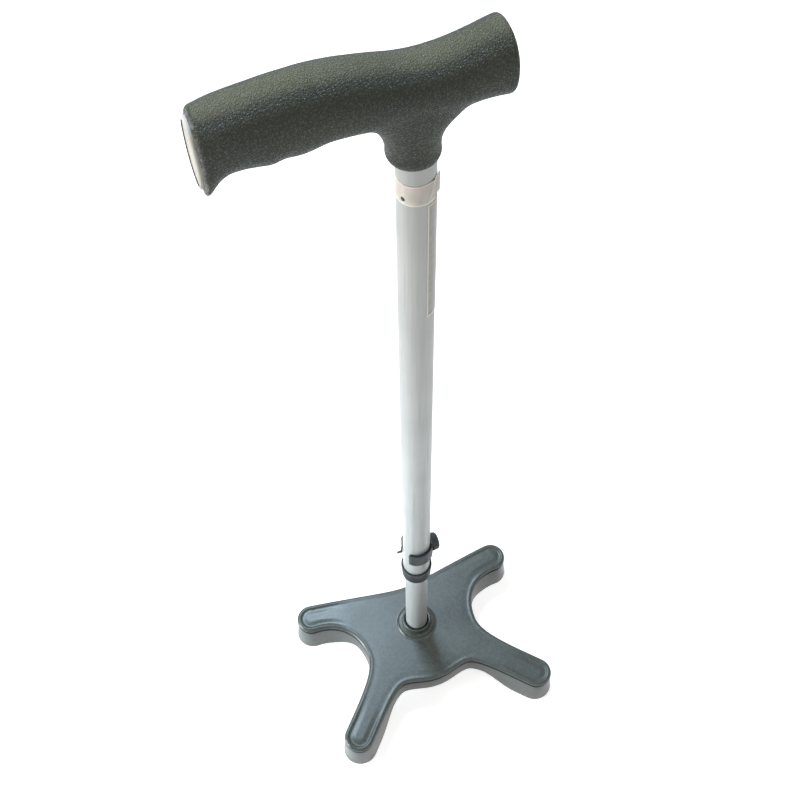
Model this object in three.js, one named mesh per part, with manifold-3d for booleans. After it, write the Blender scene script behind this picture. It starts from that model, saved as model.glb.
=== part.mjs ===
import * as THREE from 'three';
import { mergeVertices } from 'three/addons/utils/BufferGeometryUtils.js';
import Module from 'manifold-3d';

// Height-adjustable walking cane on a broad four-footed base. All lengths are millimetres.
// While it is built, the shaft axis is x = y = 0, the floor is z = 0, +X is the way the
// handle's nose points, and +Y is the straight side of the base, next to the user's leg.

const wasm = await Module();
wasm.setup();

// Clearances
const fit = 0.3;
const seat = 0.1;
const overrun = 2;

// Base outline, at the rim of the top plate
const baseHeight = 32.5;
const footRimRadius = 13;
const innerFootX = 89.5;
const innerFootY = 37.5;
const outerFootX = 84.2;
const outerFootY = 82;
const innerEdgeY = 37.2;
const waistX = 52.5;
const waistY = 15;
const notchX = 30;
const notchY = 51;
const bulgeY = 56;
const innerEdgeAngle = THREE.MathUtils.degToRad(8);
const outerLegAngle = THREE.MathUtils.degToRad(47);

// Reach of the curve handles at the two ends of each bend, as shares of the bend's span
const innerEdgeShares = [0.17, 0.5];
const sideUpperShares = [0.44, 0.4];
const sideLowerShares = [0.2, 0.5];
const outerLegShares = [0.5, 0.15];
const bulgeShares = [0.33, 0.43];

// Base cover
const coverRimHeight = 7;
const coverWall = 2.4;
const coverPlate = 3;
const coverEdgeRadius = 3.2;
const coverBossRadius = 3.6;

// Base body
const grooveHeight = 0.9;
const grooveDepth = 0.8;
const wallFlare = 2.2;
const bodyWall = 2.6;
const bodyWeb = 2.6;
const plateauRise = 1.5;
const wallLift = 1.2;
const archHeight = 13;
const archStart = 18;
const archEnd = 50;
const ribThickness = 2.4;
const ribDepth = 6;

// Hub in the middle of the base body
const hubRadius = 15.5;
const hubBottom = 11;
const hubFloor = 3.3;

// Foot pads
const padRadius = 11.2;
const padThickness = 4.2;
const padStemRadius = 6.4;
const padStemLength = 6;
const padBossWall = 2.4;

// Screws that hold the cover to the base body
const screwRadius = 1.5;
const screwHeadRadius = 2.9;
const screwHeadHeight = 2;
const screwTowerRadius = 5.2;
const screwTowerDepth = 7.4;
const screwFloor = 1.4;
const screwCover = 1.5;
const screwPlaceShare = 0.55;

// Tube socket, whose collar shows above the top plate
const socketWall = 2.2;
const collarFlangeRadius = 16.2;
const collarFlangeHeight = 2.2;
const collarRadius = 13;
const collarHeight = 9;
const collarRound = 1.1;
const collarMouth = 1;

// Lower tube and the pieces in it
const lowerTubeRadius = 9.5;
const lowerTubeWall = 1.2;
const lowerTubeOverlap = 24.5;
const holeRadius = 2.5;
const holePitch = 20;
const heightSteps = 12;
const tubePlugLength = 20;
const boltRadius = 3;
const boltLength = 15;
const boltHeadRadius = 5.6;
const boltHeadHeight = 4;
const washerRadius = 8;
const washerThickness = 1.2;
const glideFlange = 3;
const glideLength = 12;

// Upper tube and the bush on its lower end
const upperTubeRadius = 11;
const upperTubeBottom = 144.9;
const upperTubeLength = 520.6;
const bushRadius = 12.7;
const bushLip = 2.3;
const bushHeight = 15.3;
const bushRound = 0.8;

// Locking clip round the upper tube
const pinRise = 42.6;
const pinRadius = 2.2;
const pinTip = 7.2;
const bandThickness = 2.1;
const bandHeight = 15.6;
const bandDrop = 0.6;
const rootHalfAngle = THREE.MathUtils.degToRad(28);
const frontArmAngle = THREE.MathUtils.degToRad(142);
const rearArmAngle = THREE.MathUtils.degToRad(143);
const tipRadius = 1.4;
const fingerAngle = THREE.MathUtils.degToRad(165);
const fingerHeight = 4.6;
const fingerThickness = 1.4;
const lipReach = 3.4;
const buttonRadius = 6.8;
const buttonReach = 5;
const buttonRound = 1.6;
const pinCover = 2;

// Tape band and blank label on the upper tube
const skinThickness = 0.25;
const tapeDrop = 13;
const tapeHeight = 14.5;
const labelDrop = 1.5;
const labelLength = 95;
const labelStart = THREE.MathUtils.degToRad(-77);
const labelSweep = THREE.MathUtils.degToRad(110);

// Handle
const gripRear = 109;
const gripNose = 46;
const gripHalfHeight = 20;
const gripHalfWidth = 18;
const gripAxisRise = 13;
const gripEndRound = 2.6;
const ovalPower = 0.9;
const neckDepth = 35;
const neckShift = 1.5;
const neckHalfLength = 14.2;
const neckHalfWidth = 13.5;
const coreHalfHeight = 9.6;
const coreHalfWidth = 8.4;
const coreNoseGap = 17;
const coreEndGap = 12;
const spigotLength = 71;
const capHalfHeight = 19;
const capHalfWidth = 14;
const capDrop = 8.3;
const capThickness = 2.7;
const capRecess = 0.9;
const capPlugLength = 8;
const capRound = 1.2;

// Small pin that fixes the handle's spigot in the upper tube
const handlePinRadius = 1.2;
const handlePinLength = 6;
const handlePinDrop = 24;
const handlePinAngle = THREE.MathUtils.degToRad(-149);

// Facet counts
const roundSides = 32;
const padSides = 20;
const smallSides = 12;
const hexSides = 6;
const buttonSides = 24;
const gripSides = 24;
const curveSteps = 6;
const arcSteps = 8;
const filletSteps = 3;

// Grip sections from the rear end to the nose. Each row is the place along the grip, then the
// height of the top and the depth of the underside as shares of gripHalfHeight, then the width
// as a share of gripHalfWidth.
const gripSectionShares = [
  [0.0, 0.74, 1.66, 0.945],
  [0.02, 0.77, 1.5, 0.95],
  [0.045, 0.8, 1.22, 0.955],
  [0.075, 0.84, 1.03, 0.965],
  [0.115, 0.88, 0.97, 0.98],
  [0.165, 0.93, 1.0, 0.995],
  [0.215, 0.98, 1.06, 1.0],
  [0.255, 1.01, 0.98, 1.0],
  [0.295, 1.03, 1.0, 1.005],
  [0.34, 1.045, 0.95, 1.01],
  [0.385, 1.03, 0.84, 1.015],
  [0.445, 1.0, 0.82, 1.005],
  [0.51, 0.93, 0.86, 1.0],
  [0.575, 0.84, 0.87, 0.99],
  [0.64, 0.73, 0.87, 0.975],
  [0.705, 0.675, 0.87, 0.96],
  [0.77, 0.69, 0.87, 0.955],
  [0.835, 0.77, 0.87, 0.95],
  [0.895, 0.885, 0.83, 0.95],
  [0.955, 1.01, 0.82, 0.985],
  [1.0, 1.075, 0.835, 1.02],
];

// Neck sections from its rim up into the grip. Each row is the height as a share of neckDepth,
// the rear and front reach as shares of neckHalfLength, and the half width as a share of
// neckHalfWidth.
const neckSectionShares = [
  [0.0, 0.92, 0.92, 0.92],
  [0.045, 0.99, 0.99, 0.99],
  [0.25, 1.02, 1.0, 1.0],
  [0.4, 1.13, 1.02, 1.02],
  [0.53, 1.33, 1.12, 1.05],
  [0.67, 1.62, 1.4, 1.08],
  [0.8, 1.98, 1.85, 1.12],
  [0.97, 2.4, 2.3, 1.17],
  [1.3, 2.4, 2.3, 1.2],
];

// Materials
const plastic = (color) => new THREE.MeshStandardMaterial({ color, roughness: 0.6, metalness: 0 });
const metal = (color) => new THREE.MeshStandardMaterial({ color, roughness: 0.35, metalness: 1 });
const baseGrey = plastic(0x4a5a58);
const gripGrey = plastic(0x3a423d);
const clipBlack = plastic(0x24282a);
const coreNylon = plastic(0xb9b8ae);
const capWhite = plastic(0xc9ccc8);
const tapeWhite = plastic(0xe8e2dc);
const padRubber = plastic(0x39423f);
const tubeAluminium = metal(0xc6c9c8);
const fastenerSteel = metal(0x9a9c9e);

// Conversion between three.js geometry and solids that can be joined and cut
function toSolid(geometry) {
  const bare = geometry.clone();
  bare.deleteAttribute('normal');
  bare.deleteAttribute('uv');
  const merged = mergeVertices(bare.index ? bare.toNonIndexed() : bare);
  const mesh = new wasm.Mesh({
    numProp: 3,
    vertProperties: new Float32Array(merged.attributes.position.array),
    triVerts: new Uint32Array(merged.index.array),
  });
  return new wasm.Manifold(mesh);
}

function toGeometry(solid) {
  const mesh = solid.getMesh();
  const geometry = new THREE.BufferGeometry();
  geometry.setAttribute('position', new THREE.BufferAttribute(mesh.vertProperties, 3));
  geometry.setIndex(new THREE.BufferAttribute(mesh.triVerts, 1));
  geometry.computeVertexNormals();
  return geometry;
}

function join(first, ...others) {
  let solid = toSolid(first);
  for (const other of others) solid = solid.add(toSolid(other));
  return toGeometry(solid);
}

function cut(first, ...tools) {
  let solid = toSolid(first);
  for (const tool of tools) solid = solid.subtract(toSolid(tool));
  return toGeometry(solid);
}

// Solid of revolution about Z. The profile is a loop of [radius, z] pairs, anticlockwise.
function turned(profile, sides = roundSides) {
  const loop = [...profile, profile[0]].map(([radius, z]) => new THREE.Vector2(radius, z));
  return new THREE.LatheGeometry(loop, sides).rotateX(Math.PI / 2);
}

function rod(radius, bottom, top, sides = roundSides) {
  const length = top - bottom;
  const geometry = new THREE.CylinderGeometry(radius, radius, length, sides);
  return geometry.rotateX(Math.PI / 2).translate(0, 0, bottom + length / 2);
}

function sleeve(outerRadius, innerRadius, bottom, top, sides = roundSides) {
  const profile = [[innerRadius, bottom], [outerRadius, bottom], [outerRadius, top], [innerRadius, top]];
  return turned(profile, sides);
}

// Rod along +X from one radius to another, at a height above the part's own origin
function crossRod(radius, from, to, height = 0) {
  return rod(radius, from, to, smallSides).rotateY(Math.PI / 2).translate(0, 0, height);
}

// Closed skin over a row of rings with the same number of points. A ring's points run
// anticlockwise when the row is seen coming towards the eye. capFaces triangulates an end.
function skin(rings, capFaces) {
  const count = rings[0].length;
  const positions = rings.flat().flatMap((point) => [point.x, point.y, point.z]);
  const faces = [];
  for (let ring = 0; ring < rings.length - 1; ring += 1) {
    for (let i = 0; i < count; i += 1) {
      const next = (i + 1) % count;
      const a = ring * count + i;
      const b = ring * count + next;
      faces.push(a, b, b + count, a, b + count, a + count);
    }
  }
  const last = (rings.length - 1) * count;
  for (const [a, b, c] of capFaces(rings[0])) faces.push(a, c, b);
  for (const [a, b, c] of capFaces(rings[rings.length - 1])) faces.push(last + a, last + b, last + c);
  const geometry = new THREE.BufferGeometry();
  geometry.setAttribute('position', new THREE.Float32BufferAttribute(positions, 3));
  geometry.setIndex(faces);
  geometry.computeVertexNormals();
  return geometry;
}

function outlineCap(ring) {
  const flat = ring.map((point) => new THREE.Vector2(point.x, point.y));
  return THREE.ShapeUtils.triangulateShape(flat, []);
}

function fanCap(ring) {
  const faces = [];
  for (let i = 1; i < ring.length - 1; i += 1) faces.push([0, i, i + 1]);
  return faces;
}

// Half of the base outline, from the middle of the straight inner edge, clockwise past the
// front inner and front outer feet to the middle of the bulging outer edge
function halfOutline() {
  const edge = (angle) => new THREE.Vector2(Math.cos(angle), Math.sin(angle));
  const innerFoot = new THREE.Vector2(innerFootX, innerFootY);
  const outerFoot = new THREE.Vector2(outerFootX, -outerFootY);
  const innerStart = Math.PI / 2 + innerEdgeAngle;
  const innerEnd = -Math.PI / 2;
  const outerStart = Math.PI / 2 - outerLegAngle;
  const outerEnd = outerStart - Math.PI;
  const onFoot = (foot, angle) => foot.clone().addScaledVector(edge(angle), footRimRadius);

  const middle = new THREE.Vector2(0, innerEdgeY);
  const innerTop = onFoot(innerFoot, innerStart);
  const innerLow = onFoot(innerFoot, innerEnd);
  const waist = new THREE.Vector2(waistX, -waistY);
  const outerTop = onFoot(outerFoot, outerStart);
  const outerLow = onFoot(outerFoot, outerEnd);
  const notch = new THREE.Vector2(notchX, -notchY);
  const bulge = new THREE.Vector2(0, -bulgeY);
  const legBack = edge(Math.PI - outerLegAngle);
  const innerBack = edge(Math.PI + innerEdgeAngle);

  // A curve that leaves one outline point one way and meets the next one from another way
  const bend = (from, fromWay, to, toWay, shares) => {
    const span = from.distanceTo(to);
    const near = from.clone().addScaledVector(fromWay, span * shares[0]);
    const far = to.clone().addScaledVector(toWay, span * shares[1]);
    return new THREE.CubicBezierCurve(from, near, far, to).getPoints(curveSteps);
  };
  const left = new THREE.Vector2(-1, 0);
  const right = new THREE.Vector2(1, 0);
  const up = new THREE.Vector2(0, 1);
  const down = new THREE.Vector2(0, -1);
  const bends = {
    innerEdge: bend(middle, right, innerTop, innerBack, innerEdgeShares),
    sideUpper: bend(innerLow, left, waist, up, sideUpperShares),
    sideLower: bend(waist, down, outerTop, legBack, sideLowerShares),
    outerLeg: bend(outerLow, legBack, notch, right, outerLegShares),
    bulge: bend(notch, left, bulge, right, bulgeShares),
  };
  const arc = (foot, start, end) => {
    const points = [];
    for (let i = 1; i < arcSteps; i += 1) {
      points.push(onFoot(foot, THREE.MathUtils.lerp(start, end, i / arcSteps)));
    }
    return points;
  };
  return [
    ...bends.innerEdge,
    ...arc(innerFoot, innerStart, innerEnd),
    ...bends.sideUpper,
    ...bends.sideLower.slice(1),
    ...arc(outerFoot, outerStart, outerEnd),
    ...bends.outerLeg,
    ...bends.bulge.slice(1),
  ];
}

// Whole outline, anticlockwise
function wholeOutline() {
  const half = halfOutline();
  const mirrored = half.slice(1, -1).map((point) => new THREE.Vector2(-point.x, point.y));
  return [...half.reverse(), ...mirrored];
}

const outline = wholeOutline();
const outwards = outline.map((point, i) => {
  const before = outline[(i + outline.length - 1) % outline.length];
  const after = outline[(i + 1) % outline.length];
  const along = after.clone().sub(before).normalize();
  return new THREE.Vector2(along.y, -along.x);
});

const footPlaces = {
  front_inner: [innerFootX, innerFootY],
  front_outer: [outerFootX, -outerFootY],
  rear_inner: [-innerFootX, innerFootY],
  rear_outer: [-outerFootX, -outerFootY],
};

// Height of the wall's lower edge: low round the feet and arched between them
function archLevel(point) {
  const distances = Object.values(footPlaces).map(([x, y]) => Math.hypot(point.x - x, point.y - y));
  const share = THREE.MathUtils.smoothstep(Math.min(...distances), archStart, archEnd);
  return THREE.MathUtils.lerp(wallLift, archHeight, share);
}

// The outline moved inwards by an inset. Inset and level are numbers or functions of a point.
function outlineRing(inset, level) {
  return outline.map((point, i) => {
    const z = typeof level === 'function' ? level(point) : level;
    const distance = typeof inset === 'function' ? inset(z) : inset;
    const moved = point.clone().addScaledVector(outwards[i], -distance);
    return new THREE.Vector3(moved.x, moved.y, z);
  });
}

// Levels of the base, above the floor
const coverBottom = baseHeight - coverRimHeight;
const coverCeiling = baseHeight - coverPlate;
const bodyRim = coverBottom - grooveHeight;
const plateau = coverBottom + plateauRise;
const bodyCeiling = plateau - bodyWeb;
const padTop = padThickness + fit;
const socketBottom = hubBottom + hubFloor + fit;
const socketInner = lowerTubeRadius + fit;
const socketOuter = socketInner + socketWall;
const towerBottom = bodyCeiling - screwTowerDepth;
const screwSeat = bodyCeiling - screwFloor;
const screwPlaces = Object.fromEntries(Object.entries(footPlaces).map(
  ([name, place]) => [name, place.map((value) => value * screwPlaceShare)],
));

function baseCover() {
  const rings = [
    outlineRing(coverWall, coverCeiling),
    outlineRing(coverWall, coverBottom),
    outlineRing(0, coverBottom),
  ];
  for (let i = 0; i <= filletSteps; i += 1) {
    const angle = (i / filletSteps) * Math.PI / 2;
    const inset = coverEdgeRadius * (1 - Math.cos(angle));
    rings.push(outlineRing(inset, baseHeight - coverEdgeRadius * (1 - Math.sin(angle))));
  }
  const bosses = [];
  const bores = [rod(socketOuter + fit, coverCeiling - overrun, baseHeight + overrun)];
  for (const [x, y] of Object.values(screwPlaces)) {
    const boss = rod(coverBossRadius, plateau + fit, coverCeiling + seat, smallSides);
    bosses.push(boss.translate(x, y, 0));
    const bore = rod(screwRadius + fit, plateau - overrun, baseHeight - screwCover + fit, smallSides);
    bores.push(bore.translate(x, y, 0));
  }
  return cut(join(skin(rings, outlineCap), ...bosses), ...bores);
}

function baseBody() {
  const flaredInset = (z) => grooveDepth - (grooveDepth + wallFlare) * (1 - z / bodyRim);
  const innerInset = (z) => flaredInset(z) + bodyWall;
  const rings = [
    outlineRing(innerInset, bodyCeiling),
    outlineRing(innerInset, archLevel),
    outlineRing(flaredInset, archLevel),
    outlineRing(flaredInset, bodyRim),
    outlineRing(coverWall + fit, bodyRim),
    outlineRing(coverWall + fit, plateau),
  ];
  const top = bodyCeiling + seat;
  const added = [rod(hubRadius, hubBottom, top)];
  const bores = [
    rod(socketOuter + fit, hubBottom + hubFloor, plateau + overrun),
    rod(boltRadius + fit, hubBottom - overrun, plateau, smallSides),
  ];
  for (const [x, y] of Object.values(footPlaces)) {
    const bossBore = padStemRadius + fit;
    added.push(sleeve(bossBore + padBossWall, bossBore, padTop, top, padSides).translate(x, y, 0));
    const reach = Math.hypot(x, y);
    const from = socketOuter + fit + overrun;
    const length = reach - bossBore - from - padBossWall / 2;
    const rib = new THREE.BoxGeometry(length, ribThickness, ribDepth);
    rib.translate(from + length / 2, 0, top - ribDepth / 2);
    added.push(rib.rotateZ(Math.atan2(y, x)));
  }
  for (const [x, y] of Object.values(screwPlaces)) {
    added.push(rod(screwTowerRadius, towerBottom, top, smallSides).translate(x, y, 0));
    const head = rod(screwHeadRadius + fit, towerBottom - overrun, screwSeat, smallSides);
    bores.push(head.translate(x, y, 0));
    bores.push(rod(screwRadius + fit, towerBottom, plateau + overrun, smallSides).translate(x, y, 0));
  }
  return cut(join(skin(rings, outlineCap), ...added), ...bores);
}

function footPad() {
  const top = padTop + padStemLength;
  return turned([
    [0, 0],
    [padRadius, 0],
    [padRadius, padThickness],
    [padStemRadius, padThickness],
    [padStemRadius, top],
    [0, top],
  ], padSides);
}

// Screw pointing up, with its head's upper face at the origin
function coverScrew() {
  const tip = baseHeight - screwCover - screwSeat;
  return turned([
    [0, -screwHeadHeight],
    [screwHeadRadius, -screwHeadHeight],
    [screwHeadRadius, 0],
    [screwRadius, 0],
    [screwRadius, tip],
    [0, tip],
  ], smallSides);
}

function tubeSocket() {
  const flangeBottom = baseHeight + seat;
  const top = flangeBottom + collarHeight;
  const mouth = socketInner + collarMouth;
  return turned([
    [socketInner, socketBottom],
    [socketOuter, socketBottom],
    [socketOuter, flangeBottom],
    [collarFlangeRadius, flangeBottom],
    [collarFlangeRadius, flangeBottom + collarFlangeHeight / 2],
    [collarRadius + collarRound / 2, flangeBottom + collarFlangeHeight],
    [collarRadius, flangeBottom + collarFlangeHeight + collarRound],
    [collarRadius, top - collarRound],
    [collarRadius - collarRound / 3, top - collarRound / 3],
    [collarRadius - collarRound, top],
    [mouth, top],
    [mouth - collarMouth / 2, top - collarMouth],
    [socketInner, top - collarMouth * 2],
  ]);
}

// Height of the lock pin above the floor at rest, which is also the lowest pin hole
const pinHeight = upperTubeBottom + pinRise;
const lowerTubeBottom = socketBottom;
const lowerTubeTop = pinHeight + holePitch * heightSteps + lowerTubeOverlap;
const lowerTubeInner = lowerTubeRadius - lowerTubeWall;
const plugRadius = lowerTubeInner - fit;

function lowerTube() {
  const holes = [];
  for (let step = 0; step <= heightSteps; step += 1) {
    const height = pinHeight + step * holePitch;
    holes.push(crossRod(holeRadius, lowerTubeInner / 2, lowerTubeRadius + overrun, height));
  }
  return cut(sleeve(lowerTubeRadius, lowerTubeInner, lowerTubeBottom, lowerTubeTop), ...holes);
}

function tubePlug() {
  return sleeve(plugRadius, boltRadius + fit, lowerTubeBottom, lowerTubeBottom + tubePlugLength);
}

const washerTop = hubBottom - seat;
const boltSeat = washerTop - washerThickness - seat;

function baseWasher() {
  return sleeve(washerRadius, boltRadius + fit, washerTop - washerThickness, washerTop);
}

function baseBolt() {
  const head = rod(boltHeadRadius, boltSeat - boltHeadHeight, boltSeat, hexSides);
  return join(head, rod(boltRadius, boltSeat - boltHeadHeight / 2, boltSeat + boltLength, smallSides));
}

// Plug in the top of the lower tube, with a flange that glides in the upper tube
function glidePlug() {
  const flangeBottom = lowerTubeTop + seat;
  const top = flangeBottom + glideFlange;
  return turned([
    [0, lowerTubeTop - glideLength],
    [plugRadius, lowerTubeTop - glideLength],
    [plugRadius, flangeBottom],
    [lowerTubeRadius, flangeBottom],
    [lowerTubeRadius, top],
    [0, top],
  ]);
}

// Pieces of the upper tube, measured from its lower end
const upperTubeInner = lowerTubeRadius + fit;
const neckRim = upperTubeLength - neckDepth;
const tapeTop = neckRim - tapeDrop;
const tapeBottom = tapeTop - tapeHeight;
const labelTop = tapeBottom - labelDrop;
const handlePinLevel = upperTubeLength - neckDepth - handlePinDrop;
const skinInner = upperTubeRadius + seat;
const skinOuter = skinInner + skinThickness;

// Rod that points out from the shaft axis at the handle pin's angle and level
function handlePinRod(radius, from, to) {
  return crossRod(radius, from, to).rotateZ(handlePinAngle).translate(0, 0, handlePinLevel);
}

function upperTube() {
  const tube = sleeve(upperTubeRadius, upperTubeInner, 0, upperTubeLength);
  const lockHole = crossRod(holeRadius, lowerTubeInner / 2, upperTubeRadius + overrun, pinRise);
  const handleHole = handlePinRod(handlePinRadius + fit, lowerTubeInner / 2, upperTubeRadius + overrun);
  return cut(tube, lockHole, handleHole);
}

function endBush() {
  const lipInner = lowerTubeRadius + fit;
  const cupInner = upperTubeRadius + fit;
  const top = bushHeight - bushLip;
  return turned([
    [lipInner, -bushLip],
    [bushRadius - bushRound, -bushLip],
    [bushRadius, -bushLip + bushRound],
    [bushRadius, top - bushRound],
    [bushRadius - bushRound, top],
    [cupInner, top],
    [cupInner, -seat],
    [lipInner, -seat],
  ]);
}

function tapeBand() {
  const band = sleeve(skinOuter, skinInner, tapeBottom, tapeTop);
  return cut(band, handlePinRod(handlePinRadius + fit, lowerTubeRadius, upperTubeRadius + overrun));
}

function labelStrip() {
  const shape = new THREE.Shape();
  shape.absarc(0, 0, skinOuter, labelStart, labelStart + labelSweep, false);
  shape.absarc(0, 0, skinInner, labelStart + labelSweep, labelStart, true);
  const options = { depth: labelLength, bevelEnabled: false, curveSegments: arcSteps };
  return new THREE.ExtrudeGeometry(shape, options).translate(0, 0, labelTop - labelLength);
}

function handlePin() {
  return handlePinRod(handlePinRadius, upperTubeRadius - handlePinLength, skinOuter);
}

// Handle, measured from the top end of the upper tube

// Ring across the grip at x, as a full oval between its top and its underside
function gripRing(x, top, bottom, halfWidth) {
  const centre = (top + bottom) / 2;
  const halfHeight = (top - bottom) / 2;
  const fill = (value) => Math.sign(value) * Math.abs(value) ** ovalPower;
  const ring = [];
  for (let i = 0; i < gripSides; i += 1) {
    const angle = (i / gripSides) * Math.PI * 2;
    const y = fill(Math.cos(angle)) * halfWidth;
    const z = centre + fill(Math.sin(angle)) * halfHeight;
    ring.push(new THREE.Vector3(x, y, z));
  }
  return ring;
}

function gripBar() {
  const sections = gripSectionShares.map(([along, top, under, width]) => ({
    x: THREE.MathUtils.lerp(-gripRear, gripNose, along),
    top: gripAxisRise + top * gripHalfHeight,
    bottom: gripAxisRise - under * gripHalfHeight,
    halfWidth: width * gripHalfWidth,
  }));
  const shrink = (section, x, amount) => gripRing(
    x,
    section.top - amount,
    section.bottom + amount,
    section.halfWidth - amount,
  );
  const first = sections[0];
  const last = sections[sections.length - 1];
  const half = gripEndRound / 2;
  const rings = [shrink(first, -gripRear, gripEndRound), shrink(first, -gripRear + half / 2, half / 2)];
  for (const section of sections.slice(1, -1)) rings.push(shrink(section, section.x, 0));
  rings.push(shrink(last, gripNose - gripEndRound, 0), shrink(last, gripNose - half / 2, half / 2));
  rings.push(shrink(last, gripNose, gripEndRound));
  return skin(rings, fanCap);
}

function gripNeck() {
  const rings = neckSectionShares.map(([rise, rear, front, width]) => {
    const z = -neckDepth + rise * neckDepth;
    const ring = [];
    for (let i = 0; i < gripSides; i += 1) {
      const angle = (i / gripSides) * Math.PI * 2;
      const reach = Math.cos(angle) < 0 ? rear : front;
      const x = -neckShift + Math.cos(angle) * reach * neckHalfLength;
      ring.push(new THREE.Vector3(x, Math.sin(angle) * width * neckHalfWidth, z));
    }
    return ring;
  });
  return skin(rings, fanCap);
}

// Oval ring across X round a given height, grown all round by extra
function ovalRing(x, centre, halfHeight, halfWidth, extra = 0) {
  return gripRing(x, centre + halfHeight + extra, centre - halfHeight - extra, halfWidth + extra);
}

// Oval bar along X, centred on the grip's axis
function ovalBar(from, to, extra = 0) {
  const rings = [from, to].map((x) => ovalRing(x, gripAxisRise, coreHalfHeight, coreHalfWidth, extra));
  return skin(rings, fanCap);
}

const capCentre = gripAxisRise - capDrop;
const coreFrom = -gripRear + coreEndGap;
const coreTo = gripNose - coreNoseGap;

function handleGrip() {
  const bore = rod(upperTubeRadius + fit, -neckDepth - overrun, gripAxisRise);
  const slot = ovalBar(-gripRear - overrun, coreTo + fit, fit);
  const recess = skin([-gripRear - overrun, -gripRear + capRecess].map(
    (x) => ovalRing(x, capCentre, capHalfHeight, capHalfWidth, fit),
  ), fanCap);
  return cut(join(gripBar(), gripNeck()), bore, slot, recess);
}

function handleCore() {
  const bar = ovalBar(coreFrom, coreTo);
  const shoulder = rod(upperTubeRadius, seat, gripAxisRise);
  const spigot = rod(upperTubeInner - fit, -spigotLength, gripAxisRise);
  const pinHole = handlePinRod(
    handlePinRadius + fit,
    upperTubeRadius - handlePinLength - fit,
    upperTubeRadius + overrun,
  ).translate(0, 0, -upperTubeLength);
  return cut(join(bar, shoulder, spigot), pinHole);
}

function handleEndCap() {
  const back = -gripRear + capRecess - seat;
  const face = back - capThickness;
  const rings = [
    [face, -capRound],
    [face + capRound, 0],
    [back, 0],
  ].map(([x, extra]) => ovalRing(x, capCentre, capHalfHeight, capHalfWidth, extra));
  const plug = ovalBar(back - capThickness / 2, back + capPlugLength);
  return join(skin(rings, fanCap), plug);
}

// Locking clip, measured from the point where the lock pin's axis crosses the shaft axis
const bandInner = upperTubeRadius + fit;
const bandOuter = bandInner + bandThickness;
const bandMiddle = bandInner + bandThickness / 2;
const knuckleAngle = (bandThickness / 2 + fit) / bandMiddle;
const armRoot = rootHalfAngle + knuckleAngle;
const buttonFace = bandOuter + buttonReach;
const bandBottom = -bandHeight / 2 - bandDrop;

function raised(shape, bottom, depth) {
  const options = { depth, bevelEnabled: false, curveSegments: arcSteps };
  return new THREE.ExtrudeGeometry(shape, options).translate(0, 0, bottom);
}

function clipBody() {
  const button = turned([
    [0, bandMiddle],
    [buttonRadius, bandMiddle],
    [buttonRadius, buttonFace - buttonRound],
    [buttonRadius - buttonRound / 3, buttonFace - buttonRound / 3],
    [buttonRadius - buttonRound, buttonFace],
    [0, buttonFace],
  ], buttonSides).rotateY(Math.PI / 2);
  const shape = new THREE.Shape();
  shape.absarc(0, 0, bandOuter, -rootHalfAngle, rootHalfAngle, false);
  shape.absarc(0, 0, bandInner, rootHalfAngle, -rootHalfAngle, true);
  const root = raised(shape, bandBottom, bandHeight);
  const bore = crossRod(pinRadius + fit, lowerTubeInner, buttonFace - pinCover);
  const tubeSpace = rod(bandInner, -bandHeight, bandHeight);
  return cut(join(root, button), bore, tubeSpace);
}

function lockPin() {
  return crossRod(pinRadius, pinTip, buttonFace - pinCover - seat);
}

// Arm on the +Y side of the tube, from a round knuckle at the root to a rounded tip
function clipArm(tipAngle) {
  const tip = tipAngle - tipRadius / bandMiddle;
  const onBand = (angle) => new THREE.Vector2(Math.cos(angle), Math.sin(angle)).multiplyScalar(bandMiddle);
  const knuckle = onBand(armRoot);
  const end = onBand(tip);
  const shape = new THREE.Shape();
  shape.absarc(0, 0, bandOuter, armRoot, tip, false);
  shape.absarc(end.x, end.y, bandThickness / 2, tip, tip + Math.PI, false);
  shape.absarc(0, 0, bandInner, tip, armRoot, true);
  shape.absarc(knuckle.x, knuckle.y, bandThickness / 2, armRoot + Math.PI, armRoot + Math.PI * 2, false);
  return raised(shape, bandBottom, bandHeight);
}

// Thin finger along the lower edge of the rear arm, with a lip that turns away from the tube
function clipFinger() {
  const from = rearArmAngle - tipRadius / bandMiddle;
  const outer = bandInner + fingerThickness;
  const lip = new THREE.Vector2(Math.cos(fingerAngle), Math.sin(fingerAngle)).multiplyScalar(outer);
  const shape = new THREE.Shape();
  shape.absarc(0, 0, outer, from, fingerAngle, false);
  shape.lineTo(lip.x - lipReach, lip.y);
  shape.absarc(0, 0, bandInner, fingerAngle, from, true);
  return raised(shape, bandBottom, fingerHeight);
}

// Scene graph
const cane = new THREE.Group();

function addGroup(parent, z) {
  const group = new THREE.Group();
  group.position.z = z;
  parent.add(group);
  return group;
}

function addPiece(parent, name, geometry, material, place = [0, 0, 0]) {
  const mesh = new THREE.Mesh(geometry, material);
  mesh.name = name;
  mesh.position.set(...place);
  parent.add(mesh);
  return mesh;
}

// Base and lower tube, which stay on the floor
const stand = addGroup(cane, 0);
addPiece(stand, 'base_cover', baseCover(), baseGrey);
addPiece(stand, 'base_body', baseBody(), baseGrey);
for (const [name, [x, y]] of Object.entries(footPlaces)) {
  addPiece(stand, `foot_pad_${name}`, footPad(), padRubber, [x, y, 0]);
}
for (const [name, [x, y]] of Object.entries(screwPlaces)) {
  addPiece(stand, `cover_screw_${name}`, coverScrew(), fastenerSteel, [x, y, screwSeat - seat]);
}
addPiece(stand, 'tube_socket', tubeSocket(), baseGrey);
addPiece(stand, 'lower_tube', lowerTube(), tubeAluminium);
addPiece(stand, 'lower_tube_plug', tubePlug(), coreNylon);
addPiece(stand, 'base_washer', baseWasher(), fastenerSteel);
addPiece(stand, 'base_bolt', baseBolt(), fastenerSteel);
addPiece(stand, 'glide_plug', glidePlug(), coreNylon);

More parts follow.
